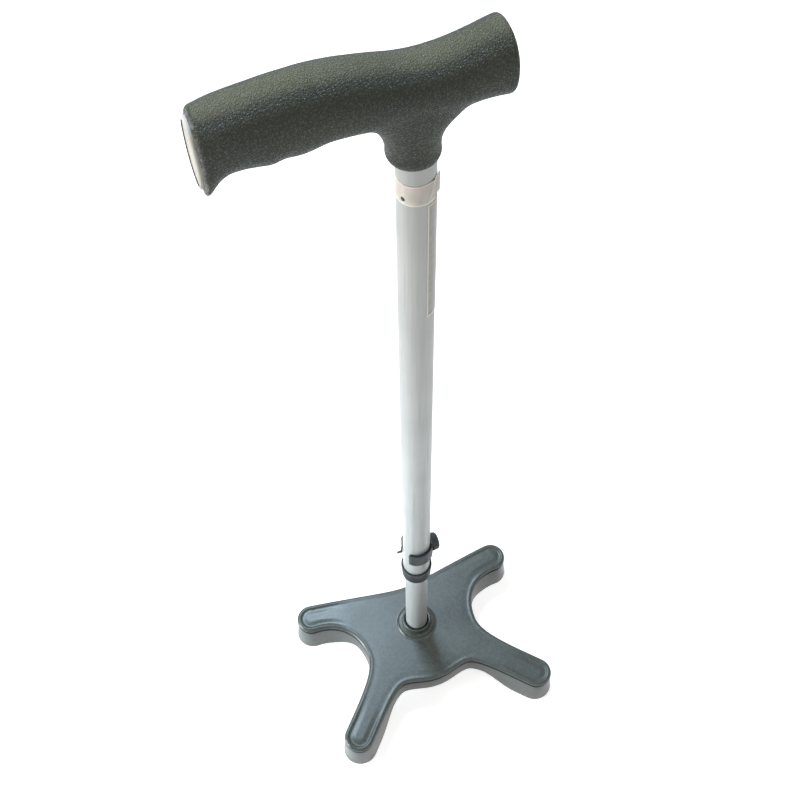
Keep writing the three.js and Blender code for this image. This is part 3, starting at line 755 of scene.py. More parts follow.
class Paint(Nodes):
    """The node tree of one material. Each finish gives the inputs of its shader."""

    def group(self, name, scale, **inputs):
        given = {"Vector": self.place, "Scale": scale, **inputs}
        return self.put("ShaderNodeGroup", given, node_tree=bpy.data.node_groups[name])

    def mottle(self, scale):
        return self.group("mottle", scale)["Mask"]

    def span(self, mask, low, high):
        return self.map_range(mask, 0.0, 1.0, low, high)

    def shades(self, mask, colour, low, high):
        """A mix of two shades of a colour."""
        return self.mix(mask, shade(colour, low), shade(colour, high))

    def attribute(self, name):
        return self.put("ShaderNodeAttribute", attribute_name=name)["Fac"]

    def axis(self, vector, name):
        return self.put("ShaderNodeSeparateXYZ", {"Vector": vector})[name]

    def edge_marked(self, scale=260.0):
        """The piece's own edge mark attribute as a broken-up mask: rubbed wear, and also painted
        highlight, sheen and shade, as each piece sets it.
        """
        return self.group("edge wear", scale, Wear=self.attribute("wear"))["Mask"]

    def bump(self, height, strength, depth):
        relief = {"Height": height, "Strength": strength, "Distance": depth}
        return self.put("ShaderNodeBump", relief)["Normal"]

    def base_plastic(self, colours):
        speckle = self.group("fine speckle", 1000.0)
        mottle = self.mottle(28.0)
        speck = self.span(speckle["Speck"], 0.0, 0.8)
        blotched = self.shades(mottle, colours.base, 0.9, 1.08)
        speckled = self.mix(speck, blotched, shade(colours.base, 1.75))
        # Painted shade: the band round the joint under the cover's rim is darkened and loses its
        # gloss
        soil = self.attribute("soil")
        joint_shaded = self.mix(soil, speckled, shade(colours.base, 0.22))
        return {
            # Lighter crest: rubbed wear and painted highlight
            "Base Color": self.mix(self.edge_marked(), joint_shaded, shade(colours.base, 1.9)),
            "Roughness": self.span(mottle, 0.29, 0.36),
            "Specular IOR Level": self.map_range(soil, 0.0, 0.6, 0.56, 0.02),
            "Normal": self.bump(speckle["Height"], 0.32, 0.0003),
        }

    def grip_plastic(self, colours):
        grain = self.group("pebbled grain", 740.0)
        olive, dust_and_top_light = shade(colours.grip_blotch, 1), shade(colours.grip_dust_and_top_light, 1)
        blotched = self.mix(self.mottle(34.0), olive, shade(colours.grip, 1.1))
        # Painted glints: bright spots of the grip's colour on the grain
        glint = self.span(grain["Glint"], 0.0, 0.9)
        speckled = self.mix(glint, blotched, shade(colours.grip, 3.0))
        toward_nose = self.map_range(self.axis(self.place, "X"), -0.02, 0.02)
        # The rear rim is pale grey, which is rubbed wear and a painted sheen. The brown nose rim is
        # wear
        rear, nose = shade(colours.rear_wear_and_sheen, 1), shade(colours.nose_wear, 1)
        marked = self.mix(toward_nose, rear, nose)
        # Up-facing surfaces turn pale olive: dust, and painted light falling on the top
        up = self.axis(self.put("ShaderNodeNewGeometry")["Normal"], "Z")
        dusty_and_lit = self.mix(self.map_range(up, 0.88, 1.0, 0.0, 0.62), speckled, dust_and_top_light)
        return {
            "Base Color": self.mix(self.edge_marked(320.0), dusty_and_lit, marked),
            "Roughness": self.span(grain["Glint"], 0.6, 0.36),
            "Specular IOR Level": 0.4,
            "Normal": self.bump(grain["Height"], 0.9, 0.0005),
        }

    def clip_plastic(self, colours):
        speckle = self.group("fine speckle", 2200.0)
        return {
            "Base Color": self.shades(speckle["Speck"], colours.clip, 0.85, 1.25),
            "Roughness": self.span(speckle["Speck"], 0.34, 0.5),
            "Specular IOR Level": 0.35,
            "Normal": self.bump(speckle["Height"], 0.2, 0.0002),
        }

    def tube_aluminium(self, colours):
        streak = self.group("drawn streaks", 900.0)
        mottle = self.mottle(22.0)
        drawn = self.shades(streak["Mask"], colours.aluminium, 0.9, 1.0)
        stained = self.mix(self.span(mottle, 0.0, 0.25), drawn, shade(colours.aluminium, 0.8))
        return {
            "Base Color": self.mix(streak["Scratch"], stained, shade(colours.aluminium, 0.7)),
            "Metallic": 0.3,
            "Roughness": self.span(mottle, 0.36, 0.46),
            "Normal": self.bump(streak["Mask"], 0.08, 0.0001),
        }

    def fastener_steel(self, colours):
        mottle = self.mottle(400.0)
        return {
            "Base Color": self.shades(mottle, colours.steel, 0.75, 1.0),
            "Metallic": 1.0,
            "Roughness": self.span(mottle, 0.28, 0.45),
            "Normal": self.bump(mottle, 0.1, 0.0001),
        }

    def pad_rubber(self, colours):
        speckle = self.group("fine speckle", 1100.0)
        return {
            "Base Color": self.shades(self.mottle(120.0), colours.rubber, 0.85, 1.5),
            "Roughness": self.span(speckle["Speck"], 0.7, 0.9),
            "Normal": self.bump(speckle["Height"], 0.4, 0.0004),
        }

    def inner_nylon(self, colours):
        mottle = self.mottle(90.0)
        return {
            "Base Color": self.shades(mottle, colours.nylon, 0.88, 1.0),
            "Roughness": self.span(mottle, 0.4, 0.55),
            "Normal": self.bump(mottle, 0.1, 0.0002),
        }

    def cap_plastic(self, colours):
        speckle = self.group("fine speckle", 900.0)
        mottle = self.mottle(80.0)
        pale = self.shades(mottle, colours.cap, 0.9, 1.02)
        return {
            # Painted shade: the step inside the border is dark grey, broken up
            "Base Color": self.mix(self.edge_marked(900.0), pale, shade(colours.cap_step, 1)),
            "Roughness": self.span(mottle, 0.55, 0.7),
            "Specular IOR Level": 0.02,
            "Normal": self.bump(speckle["Height"], 0.15, 0.0002),
        }

    def tape_film(self, colours):
        mottle = self.mottle(110.0)
        middle_level, top_level = middle("tape_band").z, top("tape_band")
        upper = self.map_range(self.axis(self.place, "Z"), middle_level, top_level)
        toned = self.mix(upper, shade(colours.tape, 0.92), shade(colours.tape_top, 1))
        cloudy = self.mix(mottle, toned, shade(colours.tape, 0.8))
        return {
            "Base Color": self.mix(self.attribute("wear"), cloudy, shade(colours.tape_edge, 1)),
            "Roughness": self.span(mottle, 0.3, 0.5),
            "Specular IOR Level": 0.2,
            "Normal": self.bump(mottle, 0.2, 0.0003),
        }

    def label_film(self, colours):
        speckle = self.group("fine speckle", 500.0)
        inside = self.shades(speckle["Speck"], colours.tape, 0.4, 0.5)
        return {
            "Base Color": self.mix(self.attribute("wear"), inside, shade(colours.label_edge, 1)),
            "Roughness": self.span(speckle["Speck"], 0.32, 0.42),
            "Normal": self.bump(speckle["Height"], 0.1, 0.0002),
        }


FINISHES = {}


def finish(name):
    """The material with a name, made when it is first asked for."""
    if not FINISHES:
        for make_group in (grain_group, speckle_group, mottle_group, streak_group, edge_mark_group):
            make_group()
    if name not in FINISHES:
        material = bpy.data.materials.new(name)
        material.use_nodes = True
        paint = Paint(material.node_tree)
        paint.place = paint.put("ShaderNodeTexCoord")["Object"]
        shader = material.node_tree.nodes["Principled BSDF"]
        inputs = getattr(paint, name)(bpy.context.scene.cane_colours)
        for socket, value in inputs.items():
            paint.feed(shader.inputs[socket], value)
        FINISHES[name] = material
    return FINISHES[name]


# Base
class BaseOutline:
    """Outline of the base at the rim of its top plate, with the way out at each point."""

    def __init__(self, base):
        self.base = base
        self.feet = [beside_shaft(f"foot_pad_{foot}").xy for foot in FEET]
        half = self.half()
        mirrored = [Vector((-point.x, point.y)) for point in half[1:-1]]
        self.points = half[::-1] + mirrored
        after = self.points[1:] + self.points[:1]
        before = self.points[-1:] + self.points[:-1]
        alongs = [(b - a).normalized() for a, b in zip(before, after)]
        self.ways = [Vector((along.y, -along.x)) for along in alongs]

    def half(self):
        """From the middle of the straight edge, past two feet, to the middle of the bulge."""
        base = self.base
        inner, outer = self.feet[:2]

        def way(turn):
            return Vector((math.cos(turn), math.sin(turn)))

        def bend(start, start_way, end, end_way, shares):
            span = (end - start).length
            near = start + start_way * span * shares[0]
            far = end + end_way * span * shares[1]
            return geometry.interpolate_bezier(start, near, far, end, BEND_POINTS)

        def round_foot(foot, start, end):
            turns = [start + (end - start) * i / ARC_POINTS for i in range(1, ARC_POINTS)]
            return [foot + way(turn) * base.foot_rim for turn in turns]

        inner_start, inner_end = math.pi / 2 + base.inner_edge, -math.pi / 2
        outer_start = math.pi / 2 - base.outer_leg
        outer_end = outer_start - math.pi
        inner_top = inner + way(inner_start) * base.foot_rim
        inner_low = inner + way(inner_end) * base.foot_rim
        outer_top = outer + way(outer_start) * base.foot_rim
        outer_low = outer + way(outer_end) * base.foot_rim
        edge_middle = Vector((0, base.straight_edge))
        waist = Vector((base.waist_x, -base.waist_y))
        notch = Vector((base.notch_x, -base.notch_y))
        bulge = Vector((0, -base.bulge))
        left, right = Vector((-1, 0)), Vector((1, 0))
        up, down = Vector((0, 1)), Vector((0, -1))
        inner_back = way(math.pi + base.inner_edge)
        leg_back = way(math.pi - base.outer_leg)
        return [
            *bend(edge_middle, right, inner_top, inner_back, STRAIGHT_EDGE_SHARES),
            *round_foot(inner, inner_start, inner_end),
            *bend(inner_low, left, waist, up, SIDE_UPPER_SHARES),
            *bend(waist, down, outer_top, leg_back, SIDE_LOWER_SHARES)[1:],
            *round_foot(outer, outer_start, outer_end),
            *bend(outer_low, leg_back, notch, right, OUTER_LEG_SHARES),
            *bend(notch, left, bulge, right, BULGE_SHARES)[1:],
        ]

    def ring(self, inset, level):
        """The outline moved inwards. Inset and level are lengths, or functions of z and a point."""
        places = []
        for point, way in zip(self.points, self.ways):
            z = level(point) if callable(level) else level
            moved = point - way * (inset(z) if callable(inset) else inset)
            places.append(Vector((moved.x, moved.y, z)))
        return places

    def to_foot(self, point):
        """Distance of a point from the nearest foot's middle."""
        return min((point - foot).length for foot in self.feet)


class CANE_OT_base_cover(bpy.types.Operator):
    """Moulded top shell of the base, with a beaded rim"""

    bl_idname = "cane.base_cover"
    bl_label = "Base cover"

    bead_start: size(13, "Bead start", "Distance from a foot at which the bead starts to fade")
    bead_end: size(36, "Bead end", "Distance from a foot at which the bead stops fading")
    bead_fade: share(0.85, "Bead fade", "How much of the bead is gone far from the feet")
    # The bead's crest is lightened: rubbed wear, and also a painted highlight along the bead
    rim_wear_and_highlight: share(0.45, "Rim wear and highlight", "Wear on the crest of the bead")
    shade_band_end: size(3.4, "Shade band end", "Height above the joint at which the dirt ends")

    def execute(self, context):
        base = context.scene.cane_base
        outline = BaseOutline(base)
        low = bottom("base_cover") + base.joint
        plate = top("base_cover")
        ceiling = plate - base.cover_plate
        edge = base.edge_round

        def at_foot(point):
            away = smoothstep(self.bead_start, self.bead_end, outline.to_foot(point))
            return 1 - self.bead_fade * away

        def level(drop, bead, valley):
            """Level under the crest of the bead, which is higher at the feet."""
            return lambda point: plate - drop + at_foot(point) * (
                base.bead_rise * bead - base.valley * valley
            )

        rings = [
            outline.ring(base.cover_wall, ceiling),
            outline.ring(base.cover_wall, low),
            outline.ring(FIT, low),
            outline.ring(0, low + FIT),
            outline.ring(0, low + base.shade_band),
        ]
        for inward, down in QUARTER:
            rings.append(outline.ring(edge * inward, level(edge * down, 1, 0)))
        for i in range(1, ROUND_STEPS + 1):
            fallen = smoothstep(0, 1, i / ROUND_STEPS)
            inset = edge + base.bead_width * i / ROUND_STEPS
            rings.append(outline.ring(inset, level(0, 1 - fallen, fallen)))
        for i in range(1, ROUND_STEPS + 1):
            risen = smoothstep(0, 1, i / ROUND_STEPS)
            inset = edge + base.bead_width + base.valley_width * i / ROUND_STEPS
            rings.append(outline.ring(inset, level(0, 0, 1 - risen)))
        rings.append(outline.ring(inset + base.soft, plate))

        bm = bmesh.new()
        wear = bm.verts.layers.float.new("wear")
        soil = bm.verts.layers.float.new("soil")
        inside, rim = skin(bm, rings)
        wide = half_width("tube_socket")
        skirt = [(wide + max(out * base.skirt, FIT / 3), rise) for out, rise in SKIRT_SHARES]
        skirt.append((wide + base.skirt + base.soft, 0))
        outside = first_ring(bm, circle_places(wide - base.cover_wall, plate))
        lower = next_ring(bm, outside, circle_places(wide - base.cover_wall, ceiling))
        for radius, rise in skirt:
            places = circle_places(radius, plate + rise * base.skirt_rise)
            outside = next_ring(bm, outside, places)
        fill_between(bm, rim, outside)
        fill_between(bm, inside, lower)
        bmesh.ops.recalc_face_normals(bm, faces=bm.faces)
        crest = plate + base.bead_rise
        for vert in bm.verts:
            beyond = vert.co.xy.length > wide + 2 * base.skirt
            edge_marked = smoothstep(crest - base.bead_rise / 2, crest, vert.co.z)
            # Rubbed wear and painted highlight on the bead's crest, away from the socket
            vert[wear] = self.rim_wear_and_highlight * beyond * edge_marked
            # Painted shade on the cover's lower side, next to the joint
            vert[soil] = 1 - smoothstep(low + base.shade_band, low + self.shade_band_end, vert.co.z)
        place_piece(solid("cover_shell", bm), "base", "base_plastic", "base_cover")
        return {"FINISHED"}


class CANE_OT_base_body(bpy.types.Operator):
    """Lower shell of the base, arched between the feet, with its hub, ribs and towers"""

    bl_idname = "cane.base_body"
    bl_label = "Base body"

    hub: size(15.5, "Hub", "Radius of the hub round the bolt")
    hub_bottom: size(11, "Hub bottom", "Height of the hub above the floor")
    hub_floor: size(3.3, "Hub floor", "Thickness of the hub's floor")
    hub_bore: size(2.8, "Hub bore", "How much wider than the lower tube the hub's bore is")
    web: size(2.6, "Web", "Thickness of the body's upper plate")
    boss: size(9.1, "Pad boss", "Outer radius of the boss round a foot pad's stem")
    boss_bore: size(6.7, "Pad bore", "Radius of the socket for a foot pad's stem")
    boss_depth: size(5.7, "Boss depth", "How far the boss reaches below the stem's top")
    tower: size(5.2, "Screw tower", "Radius of a screw's tower")
    tower_depth: size(7.4, "Tower depth", "Depth of a screw's tower")
    screw: size(1.8, "Screw bore", "Radius of the bore for a screw's shank")
    head: size(3.2, "Head bore", "Radius of the bore for a screw's head")
    seat: size(1.4, "Screw seat", "Depth of a screw's seat below the upper plate")
    bolt: size(3.3, "Bolt bore", "Radius of the bore for the bolt")
    shade_band_ring: size(1.2, "Dirt ring", "Depth below the rim of the ring in the middle of the dirt")

    def walls(self, base, outline, rim, ceiling, plateau):
        """Rings from the inside of the wall, round its lower edge and up to the top."""
        neck = base.cover_wall + FIT
        soft = base.soft

        def flared(z):
            return base.groove - (base.groove + base.flare) * (1 - z / rim)

        def inner(z):
            return flared(z) + base.body_wall

        def arch(point):
            rise = smoothstep(base.arch_start, base.arch_end, outline.to_foot(point))
            return base.lift + (base.arch - base.lift) * rise

        return [
            outline.ring(inner, ceiling),
            outline.ring(inner, lambda point: arch(point) + soft),
            outline.ring(lambda z: inner(z) - soft, arch),
            outline.ring(lambda z: flared(z) + soft, arch),
            outline.ring(lambda z: flared(z) + soft / 4, lambda point: arch(point) + soft / 4),
            outline.ring(flared, lambda point: arch(point) + soft),
            outline.ring(flared, rim - base.shade_band),
            outline.ring(flared, rim - self.shade_band_ring),
            outline.ring(flared, rim - soft),
            outline.ring(lambda z: flared(z) + soft / 4, rim - soft / 4),
            outline.ring(lambda z: flared(z) + soft, rim),
            outline.ring(neck, rim),
            outline.ring(neck, plateau),
        ]

    def execute(self, context):
        base = context.scene.cane_base
        outline = BaseOutline(base)
        soft = base.soft
        screws = [beside_shaft(f"cover_screw_{foot}").xy for foot in FEET]
        plateau = top("base_body")
        rim = bottom("base_cover") + base.joint - base.joint_gap
        ceiling = plateau - self.web
        bm = lofted(self.walls(base, outline, rim, ceiling, plateau), "soil")
        soil = bm.verts.layers.float["soil"]
        # Painted shade on the body's wall, darkest just under the joint
        for vert in bm.verts:
            vert[soil] = smoothstep(rim - base.shade_band, rim - base.joint_gap, vert.co.z)
        body = solid("body_shell", bm)

        under = ceiling + FIT / 3
        added = [round_edges(rod(self.hub, self.hub_bottom, under), soft)]
        boss_low = top("foot_pad_front_inner") - self.boss_depth
        start = self.hub - 2 * OVERRUN
        for foot in outline.feet:
            boss = sleeve(self.boss, self.boss_bore, boss_low, under, foot)
            added.append(round_edges(boss, soft / 2))
            reach = foot.length - self.boss_bore - base.body_wall / 2
            place = ((reach + start) / 2, 0, under - base.rib_depth / 2)
            beam = block((reach - start, base.rib, base.rib_depth), place)
            added.append(round_edges(spun(beam, math.atan2(foot.y, foot.x), "Z"), soft / 2))
        for screw in screws:
            tower = rod(self.tower, ceiling - self.tower_depth, under, screw, SMALL_STEPS)
            added.append(round_edges(tower, soft / 2))
        carve(body, added, "UNION")

        socket = half_width("lower_tube") + self.hub_bore
        bores = [
            rod(socket, self.hub_bottom + self.hub_floor, plateau + OVERRUN),
            rod(self.bolt, self.hub_bottom - OVERRUN, plateau, steps=SMALL_STEPS),
        ]
        low = ceiling - self.tower_depth - OVERRUN
        for screw in screws:
            bores.append(rod(self.head, low, ceiling - self.seat, screw, SMALL_STEPS))
            bores.append(rod(self.screw, low, plateau + OVERRUN, screw, SMALL_STEPS))
        carve(body, bores)
        place_piece(body, "base", "base_plastic", "base_body")
        return {"FINISHED"}


class CANE_OT_tube_socket(bpy.types.Operator):
    """Stepped collar that holds the lower tube in the base"""

    bl_idname = "cane.tube_socket"
    bl_label = "Tube socket"

    wall: size(2.2, "Socket wall", "Wall of the socket below the flange")
    mouth: size(1.3, "Mouth", "Chamfer of the collar's mouth")
    flange: size(2.2, "Flange", "Height of the socket's flange on the base")
    collar: size(13, "Collar", "Outer radius of the socket's collar")
    rounding: size(1.1, "Collar round", "Radius of the collar's edges")

    def execute(self, context):
        bore = half_width("lower_tube") + FIT
        low, high = bottom("tube_socket"), top("tube_socket")
        flange = top("base_cover") + FIT / 3
        wide = half_width("tube_socket")
        shoulder = flange + self.flange
        profile = [
            (bore, low),
            (bore + self.wall, low),
            (bore + self.wall, flange),
            (wide, flange),
            (wide, shoulder - self.rounding / 2),
            (wide - self.rounding * 0.15, shoulder - self.rounding * 0.15),
            (wide - self.rounding / 2, shoulder),
            (self.collar + self.rounding * 0.7, shoulder + FIT / 3),
            (self.collar + self.rounding * 0.2, shoulder + FIT),
            (self.collar, shoulder + self.rounding),
        ]
        for inward, down in QUARTER:
            profile.append((self.collar - self.rounding * inward, high - self.rounding * down))
        profile.append((bore + self.mouth, high - self.rounding / 4))
        profile.append((bore + self.mouth * 0.6, high - self.mouth))
        profile.append((bore, high - self.mouth * 2))
        place_piece(solid("collar", turned(profile)), "base", "base_plastic", "tube_socket")
        return {"FINISHED"}


class CANE_OT_foot_pads(bpy.types.Operator):
    """Four rubber foot pads with ringed treads"""

    bl_idname = "cane.foot_pads"
    bl_label = "Foot pads"

    stem: size(6.4, "Stem", "Radius of a pad's stem")
    thickness: size(4.2, "Thickness", "Height of a pad below the base")
    tread: size(0.8, "Tread", "Depth and width of a ring in the tread")
    soft: size(0.6, "Edge", "Radius of a pad's edges")
    rings: bpy.props.IntProperty(name="Rings", description="Rings in the tread", default=3)

    def execute(self, context):
        soft = self.soft
        for foot in FEET:
            node = f"foot_pad_{foot}"
            radius = half_width(node)
            pitch = radius / (self.rings + 1)
            profile = [(0, self.tread), (pitch / 2, self.tread)]
            for ring in range(self.rings):
                start = pitch * (ring + 0.5)
                profile += [
                    (start + self.tread / 4, 0),
                    (start + pitch - self.tread, 0),
                    (start + pitch - self.tread * 0.75, self.tread),
                    (start + pitch, self.tread),
                ]
            profile += [
                (radius - pitch / 2 + self.tread / 4, 0),
                (radius - soft, 0),
                (radius - soft * 0.3, soft * 0.3),
                (radius, soft),
                (radius - soft / 3, self.thickness - soft),
                (radius - soft, self.thickness),
                (self.stem, self.thickness),
                (self.stem, top(node) - soft),
                (self.stem - soft, top(node)),
                (0, top(node)),
            ]
            pad = solid(f"rubber_{foot}", turned(profile, beside_shaft(node).xy, KNOB_STEPS))
            place_piece(pad, "base", "pad_rubber", node)
        return {"FINISHED"}


class CANE_OT_base_fasteners(bpy.types.Operator):
    """Cross-recessed screws, and the bolt and washer under the base"""

    bl_idname = "cane.base_fasteners"
    bl_label = "Base fasteners"

    shank: size(1.5, "Screw", "Radius of a screw's shank")
    head: size(2, "Screw head", "Height of a screw's head")
    dome: size(0.05, "Screw dome", "How much a screw's face curves in round its recess")
    bolt: size(3, "Bolt", "Radius of the bolt's shank")
    bolt_head: size(4, "Bolt head", "Height of the bolt's head")
    bolt_tip: size(0.5, "Bolt tip", "Chamfer of the bolt's end")
    washer_edge: size(0.2, "Washer edge", "Radius of the washer's edges")

    def screw(self, foot):
        node = f"cover_screw_{foot}"
        place = beside_shaft(node)
        low, high, radius = bottom(node), top(node), half_width(node)
        profile = [
            (0, low),
            (radius * 0.55, low + self.dome),
            (radius * 0.9, low + self.head * 0.3),
            (radius, low + self.head * 0.6),
            (radius, low + self.head),
            (self.shank, low + self.head),
            (self.shank, high - self.shank),
            (0, high),
        ]
        piece = solid(f"screw_{foot}", turned(profile, place.xy, SMALL_STEPS))
        long, thin = RECESS_SHARES
        slots = [
            block(Vector(lengths) * radius, (place.x, place.y, low))
            for lengths in ((long, thin, long), (thin, long, long))
        ]
        carve(piece, slots)
        place_piece(piece, "base", "fastener_steel", node)

    def execute(self, context):
        for foot in FEET:
            self.screw(foot)
        low, high = bottom("base_bolt"), top("base_bolt")
        rear, front = along_x("base_bolt")
        hexagon = arc((front - rear) / 2, 0, math.tau * 5 / 6, 6)
        bolt = solid("bolt", round_edges(raised(hexagon, low, low + self.bolt_head), FIT))
        shank = [
            (0, low + self.bolt_head / 2),
            (self.bolt, low + self.bolt_head / 2),
            (self.bolt, high - self.bolt_tip),
            (self.bolt - self.bolt_tip, high),
            (0, high),
        ]
        carve(bolt, [turned(shank, steps=SMALL_STEPS)], "UNION")
        place_piece(bolt, "base", "fastener_steel", "base_bolt")

        low, high = bottom("base_washer"), top("base_washer")
        ring = sleeve(half_width("base_washer"), self.bolt + FIT, low, high)
        washer = solid("washer", round_edges(ring, self.washer_edge))
        place_piece(washer, "base", "fastener_steel", "base_washer")
        return {"FINISHED"}


# Tubes
def handle_pin_turn():
    """Angle round the shaft at which the handle's pin lies."""
    place = beside_shaft("handle_pin")
    return math.atan2(place.y, place.x)


def drilled_tube(name, node, body, tube, holes):
    """A tube with holes in one side. A hole is its radius, its level and its angle."""
    radius = half_width(node)
    ring = sleeve(radius, radius - tube.wall, bottom(node), top(node))
    piece = solid(name, round_edges(ring, tube.edge))
    ends = (radius / 2, radius + OVERRUN)
    carve(piece, [cross_rod(hole, *ends, level, turn) for hole, level, turn in holes])
    place_piece(piece, body, "tube_aluminium", node)


class CANE_OT_lower_tube(bpy.types.Operator):
    """Inner tube of the telescope, with its row of pin holes"""

    bl_idname = "cane.lower_tube"
    bl_label = "Lower tube"

    pitch: size(20, "Hole pitch", "Distance between two holes")
    holes: bpy.props.IntProperty(name="Holes", description="Number of pin holes", default=13)

    def execute(self, context):
        tube = context.scene.cane_tube
        first = middle("lock_pin").z
        holes = [(tube.hole, first + self.pitch * i, 0) for i in range(self.holes)]
        drilled_tube("inner_tube", "lower_tube", "base", tube, holes)
        return {"FINISHED"}


class CANE_OT_upper_tube(bpy.types.Operator):
    """Outer tube of the telescope, with its lock hole, its bush and the handle's pin"""

    bl_idname = "cane.upper_tube"
    bl_label = "Upper tube and bush"

    lip: size(2.2, "Bush lip", "Height of the bush's lip below the tube")
    pin: size(1.2, "Handle pin", "Radius of the handle's pin")
    pin_length: size(6, "Pin length", "Length of the handle's pin")

    def bush_profile(self):
        """Outline of the bush. The outside is given as places in from its widest part."""
        low, high = bottom("end_bush"), top("end_bush")
        wide = half_width("end_bush")
        slim = half_width("lower_tube") + FIT
        cup = half_width("upper_tube") + FIT
        outside = [(wide - inward * MM, low + up * MM) for inward, up in BUSH_FOOT]
        outside += [(wide - inward * MM, high - down * MM) for inward, down in BUSH_RIM]
        mouth = [(cup + FIT, high), (cup, high - 0.4 * MM), (cup, low + self.lip)]
        return [(slim, low), *outside, *mouth, (slim, low + self.lip)]

    def execute(self, context):
        tube = context.scene.cane_tube
        turn = handle_pin_turn()
        level = middle("handle_pin").z
        holes = [(tube.hole, middle("lock_pin").z, 0), (self.pin + FIT, level, turn)]
        drilled_tube("outer_tube", "upper_tube", "upper", tube, holes)
        bush = solid("lower_bush", turned(self.bush_profile()))
        place_piece(bush, "upper", "clip_plastic", "end_bush")
        outer = half_width("tape_band")
        head = cross_rod(self.pin, outer - self.pin_length, outer, level, turn)
        pin = solid("handle_pin_head", round_edges(head, FIT))
        place_piece(pin, "upper", "clip_plastic", "handle_pin")
        return {"FINISHED"}


class CANE_OT_tape_and_label(bpy.types.Operator):
    """Tape wound round the tube under the grip, and the blank label strip"""

    bl_idname = "cane.tape_and_label"
    bl_label = "Tape and label"

    film: size(0.12, "Film", "Thickness of the tape and the label")
    gap: size(0.1, "Gap", "Gap between the film and the tube")
    border: size(1.1, "Border", "Width of the pale border of the tape and of the label")
    start: angle(-500, "Tape start", "Angle at which the tape's inner end lies")
    winding: angle(480, "Winding", "Angle that the tape winds through")
    rise: size(1.6, "Tape rise", "How far the outer lap of the tape climbs")
    lift: size(1.2, "Tape lift", "How far the tape's end stands off the tube")
    fold: size(0.6, "Tape fold", "Height of the folds near the tape's end")
    fold_width: size(0.7, "Fold width", "Width of the folds near the tape's end")
    wrinkle: size(0.12, "Tape wrinkles", "Height of the wrinkles in the tape")
    pin_hole: size(1.5, "Pin hole", "Radius of the tape's hole for the handle's pin")
    label_start: angle(-77, "Label start", "Angle of the label's near edge")
    label_sweep: angle(110, "Label sweep", "Angle that the label covers")
    ripple: size(0.06, "Label ripple", "Height of the ripples in the label")

    def film_grid(self, grid, place):
        """A thin film over a grid. The place function gives a radius, angle, level and edge mark.
        """
        bm = bmesh.new()
        bmesh.ops.create_grid(bm, x_segments=grid[0], y_segments=grid[1], size=0.5)
        wear = bm.verts.layers.float.new("wear")
        for vert in bm.verts:
            radius, turn, level, vert[wear] = place(vert.co.x + 0.5, vert.co.y + 0.5)
            vert.co = Vector((math.cos(turn) * radius, math.sin(turn) * radius, level))
        bmesh.ops.recalc_face_normals(bm, faces=bm.faces)
        bmesh.ops.solidify(bm, geom=bm.faces[:], thickness=self.film)
        bmesh.ops.recalc_face_normals(bm, faces=bm.faces)
        return bm

    def tape(self, inner):
        low, high = bottom("tape_band"), top("tape_band")
        lapped = math.tau / self.winding

        def place(along, across):
            turn = self.start + along * self.winding
            over = smoothstep(lapped * LAP_START, lapped, along)
            crease = noise.noise(Vector((turn, across, 1)) * Vector(CREASES))
            radius = inner + over * LAP_RISE * self.film + max(crease, 0) * self.wrinkle
            radius += smoothstep(LIFT_START, 1, along) ** 2 * self.lift
            for fold_place, lean in FOLDS:
                gap = (along - fold_place - lean * (across - 0.5)) * self.winding * inner
                radius += over * self.fold * math.exp(-((gap / self.fold_width) ** 2))
            edge = min(across, 1 - across) * (high - low)
            level = low + (high - low) * across + smoothstep(lapped, 1, along) * self.rise
            return radius, turn, level, 1 - smoothstep(0.7 * self.border, self.border, edge)

        wrap = solid("tape_wrap", self.film_grid(TAPE_GRID, place))
        ends = (inner - OVERRUN, inner + OVERRUN)
        level = middle("handle_pin").z
        carve(wrap, [cross_rod(self.pin_hole, *ends, level, handle_pin_turn())])
        place_piece(wrap, "upper", "tape_film", "tape_band")

    def label(self, inner):
        low, high = bottom("label_strip"), top("label_strip")
        width = inner * self.label_sweep
        length = high - low

        def place(x, y):
            across, up = x * width, y * length
            ripple = noise.noise(Vector((across, up, 1)) * Vector(RIPPLES)) * self.ripple
            edge = min(across, width - across, up, length - up)
            wear = 1 - smoothstep(0.8 * self.border, self.border, edge)
            return inner + max(ripple, 0), self.label_start + across / inner, low + up, wear

        strip = solid("blank_label", self.film_grid(LABEL_GRID, place))
        place_piece(strip, "upper", "label_film", "label_strip")

    def execute(self, context):
        inner = half_width("upper_tube") + self.gap
        self.tape(inner)
        self.label(inner)
        return {"FINISHED"}


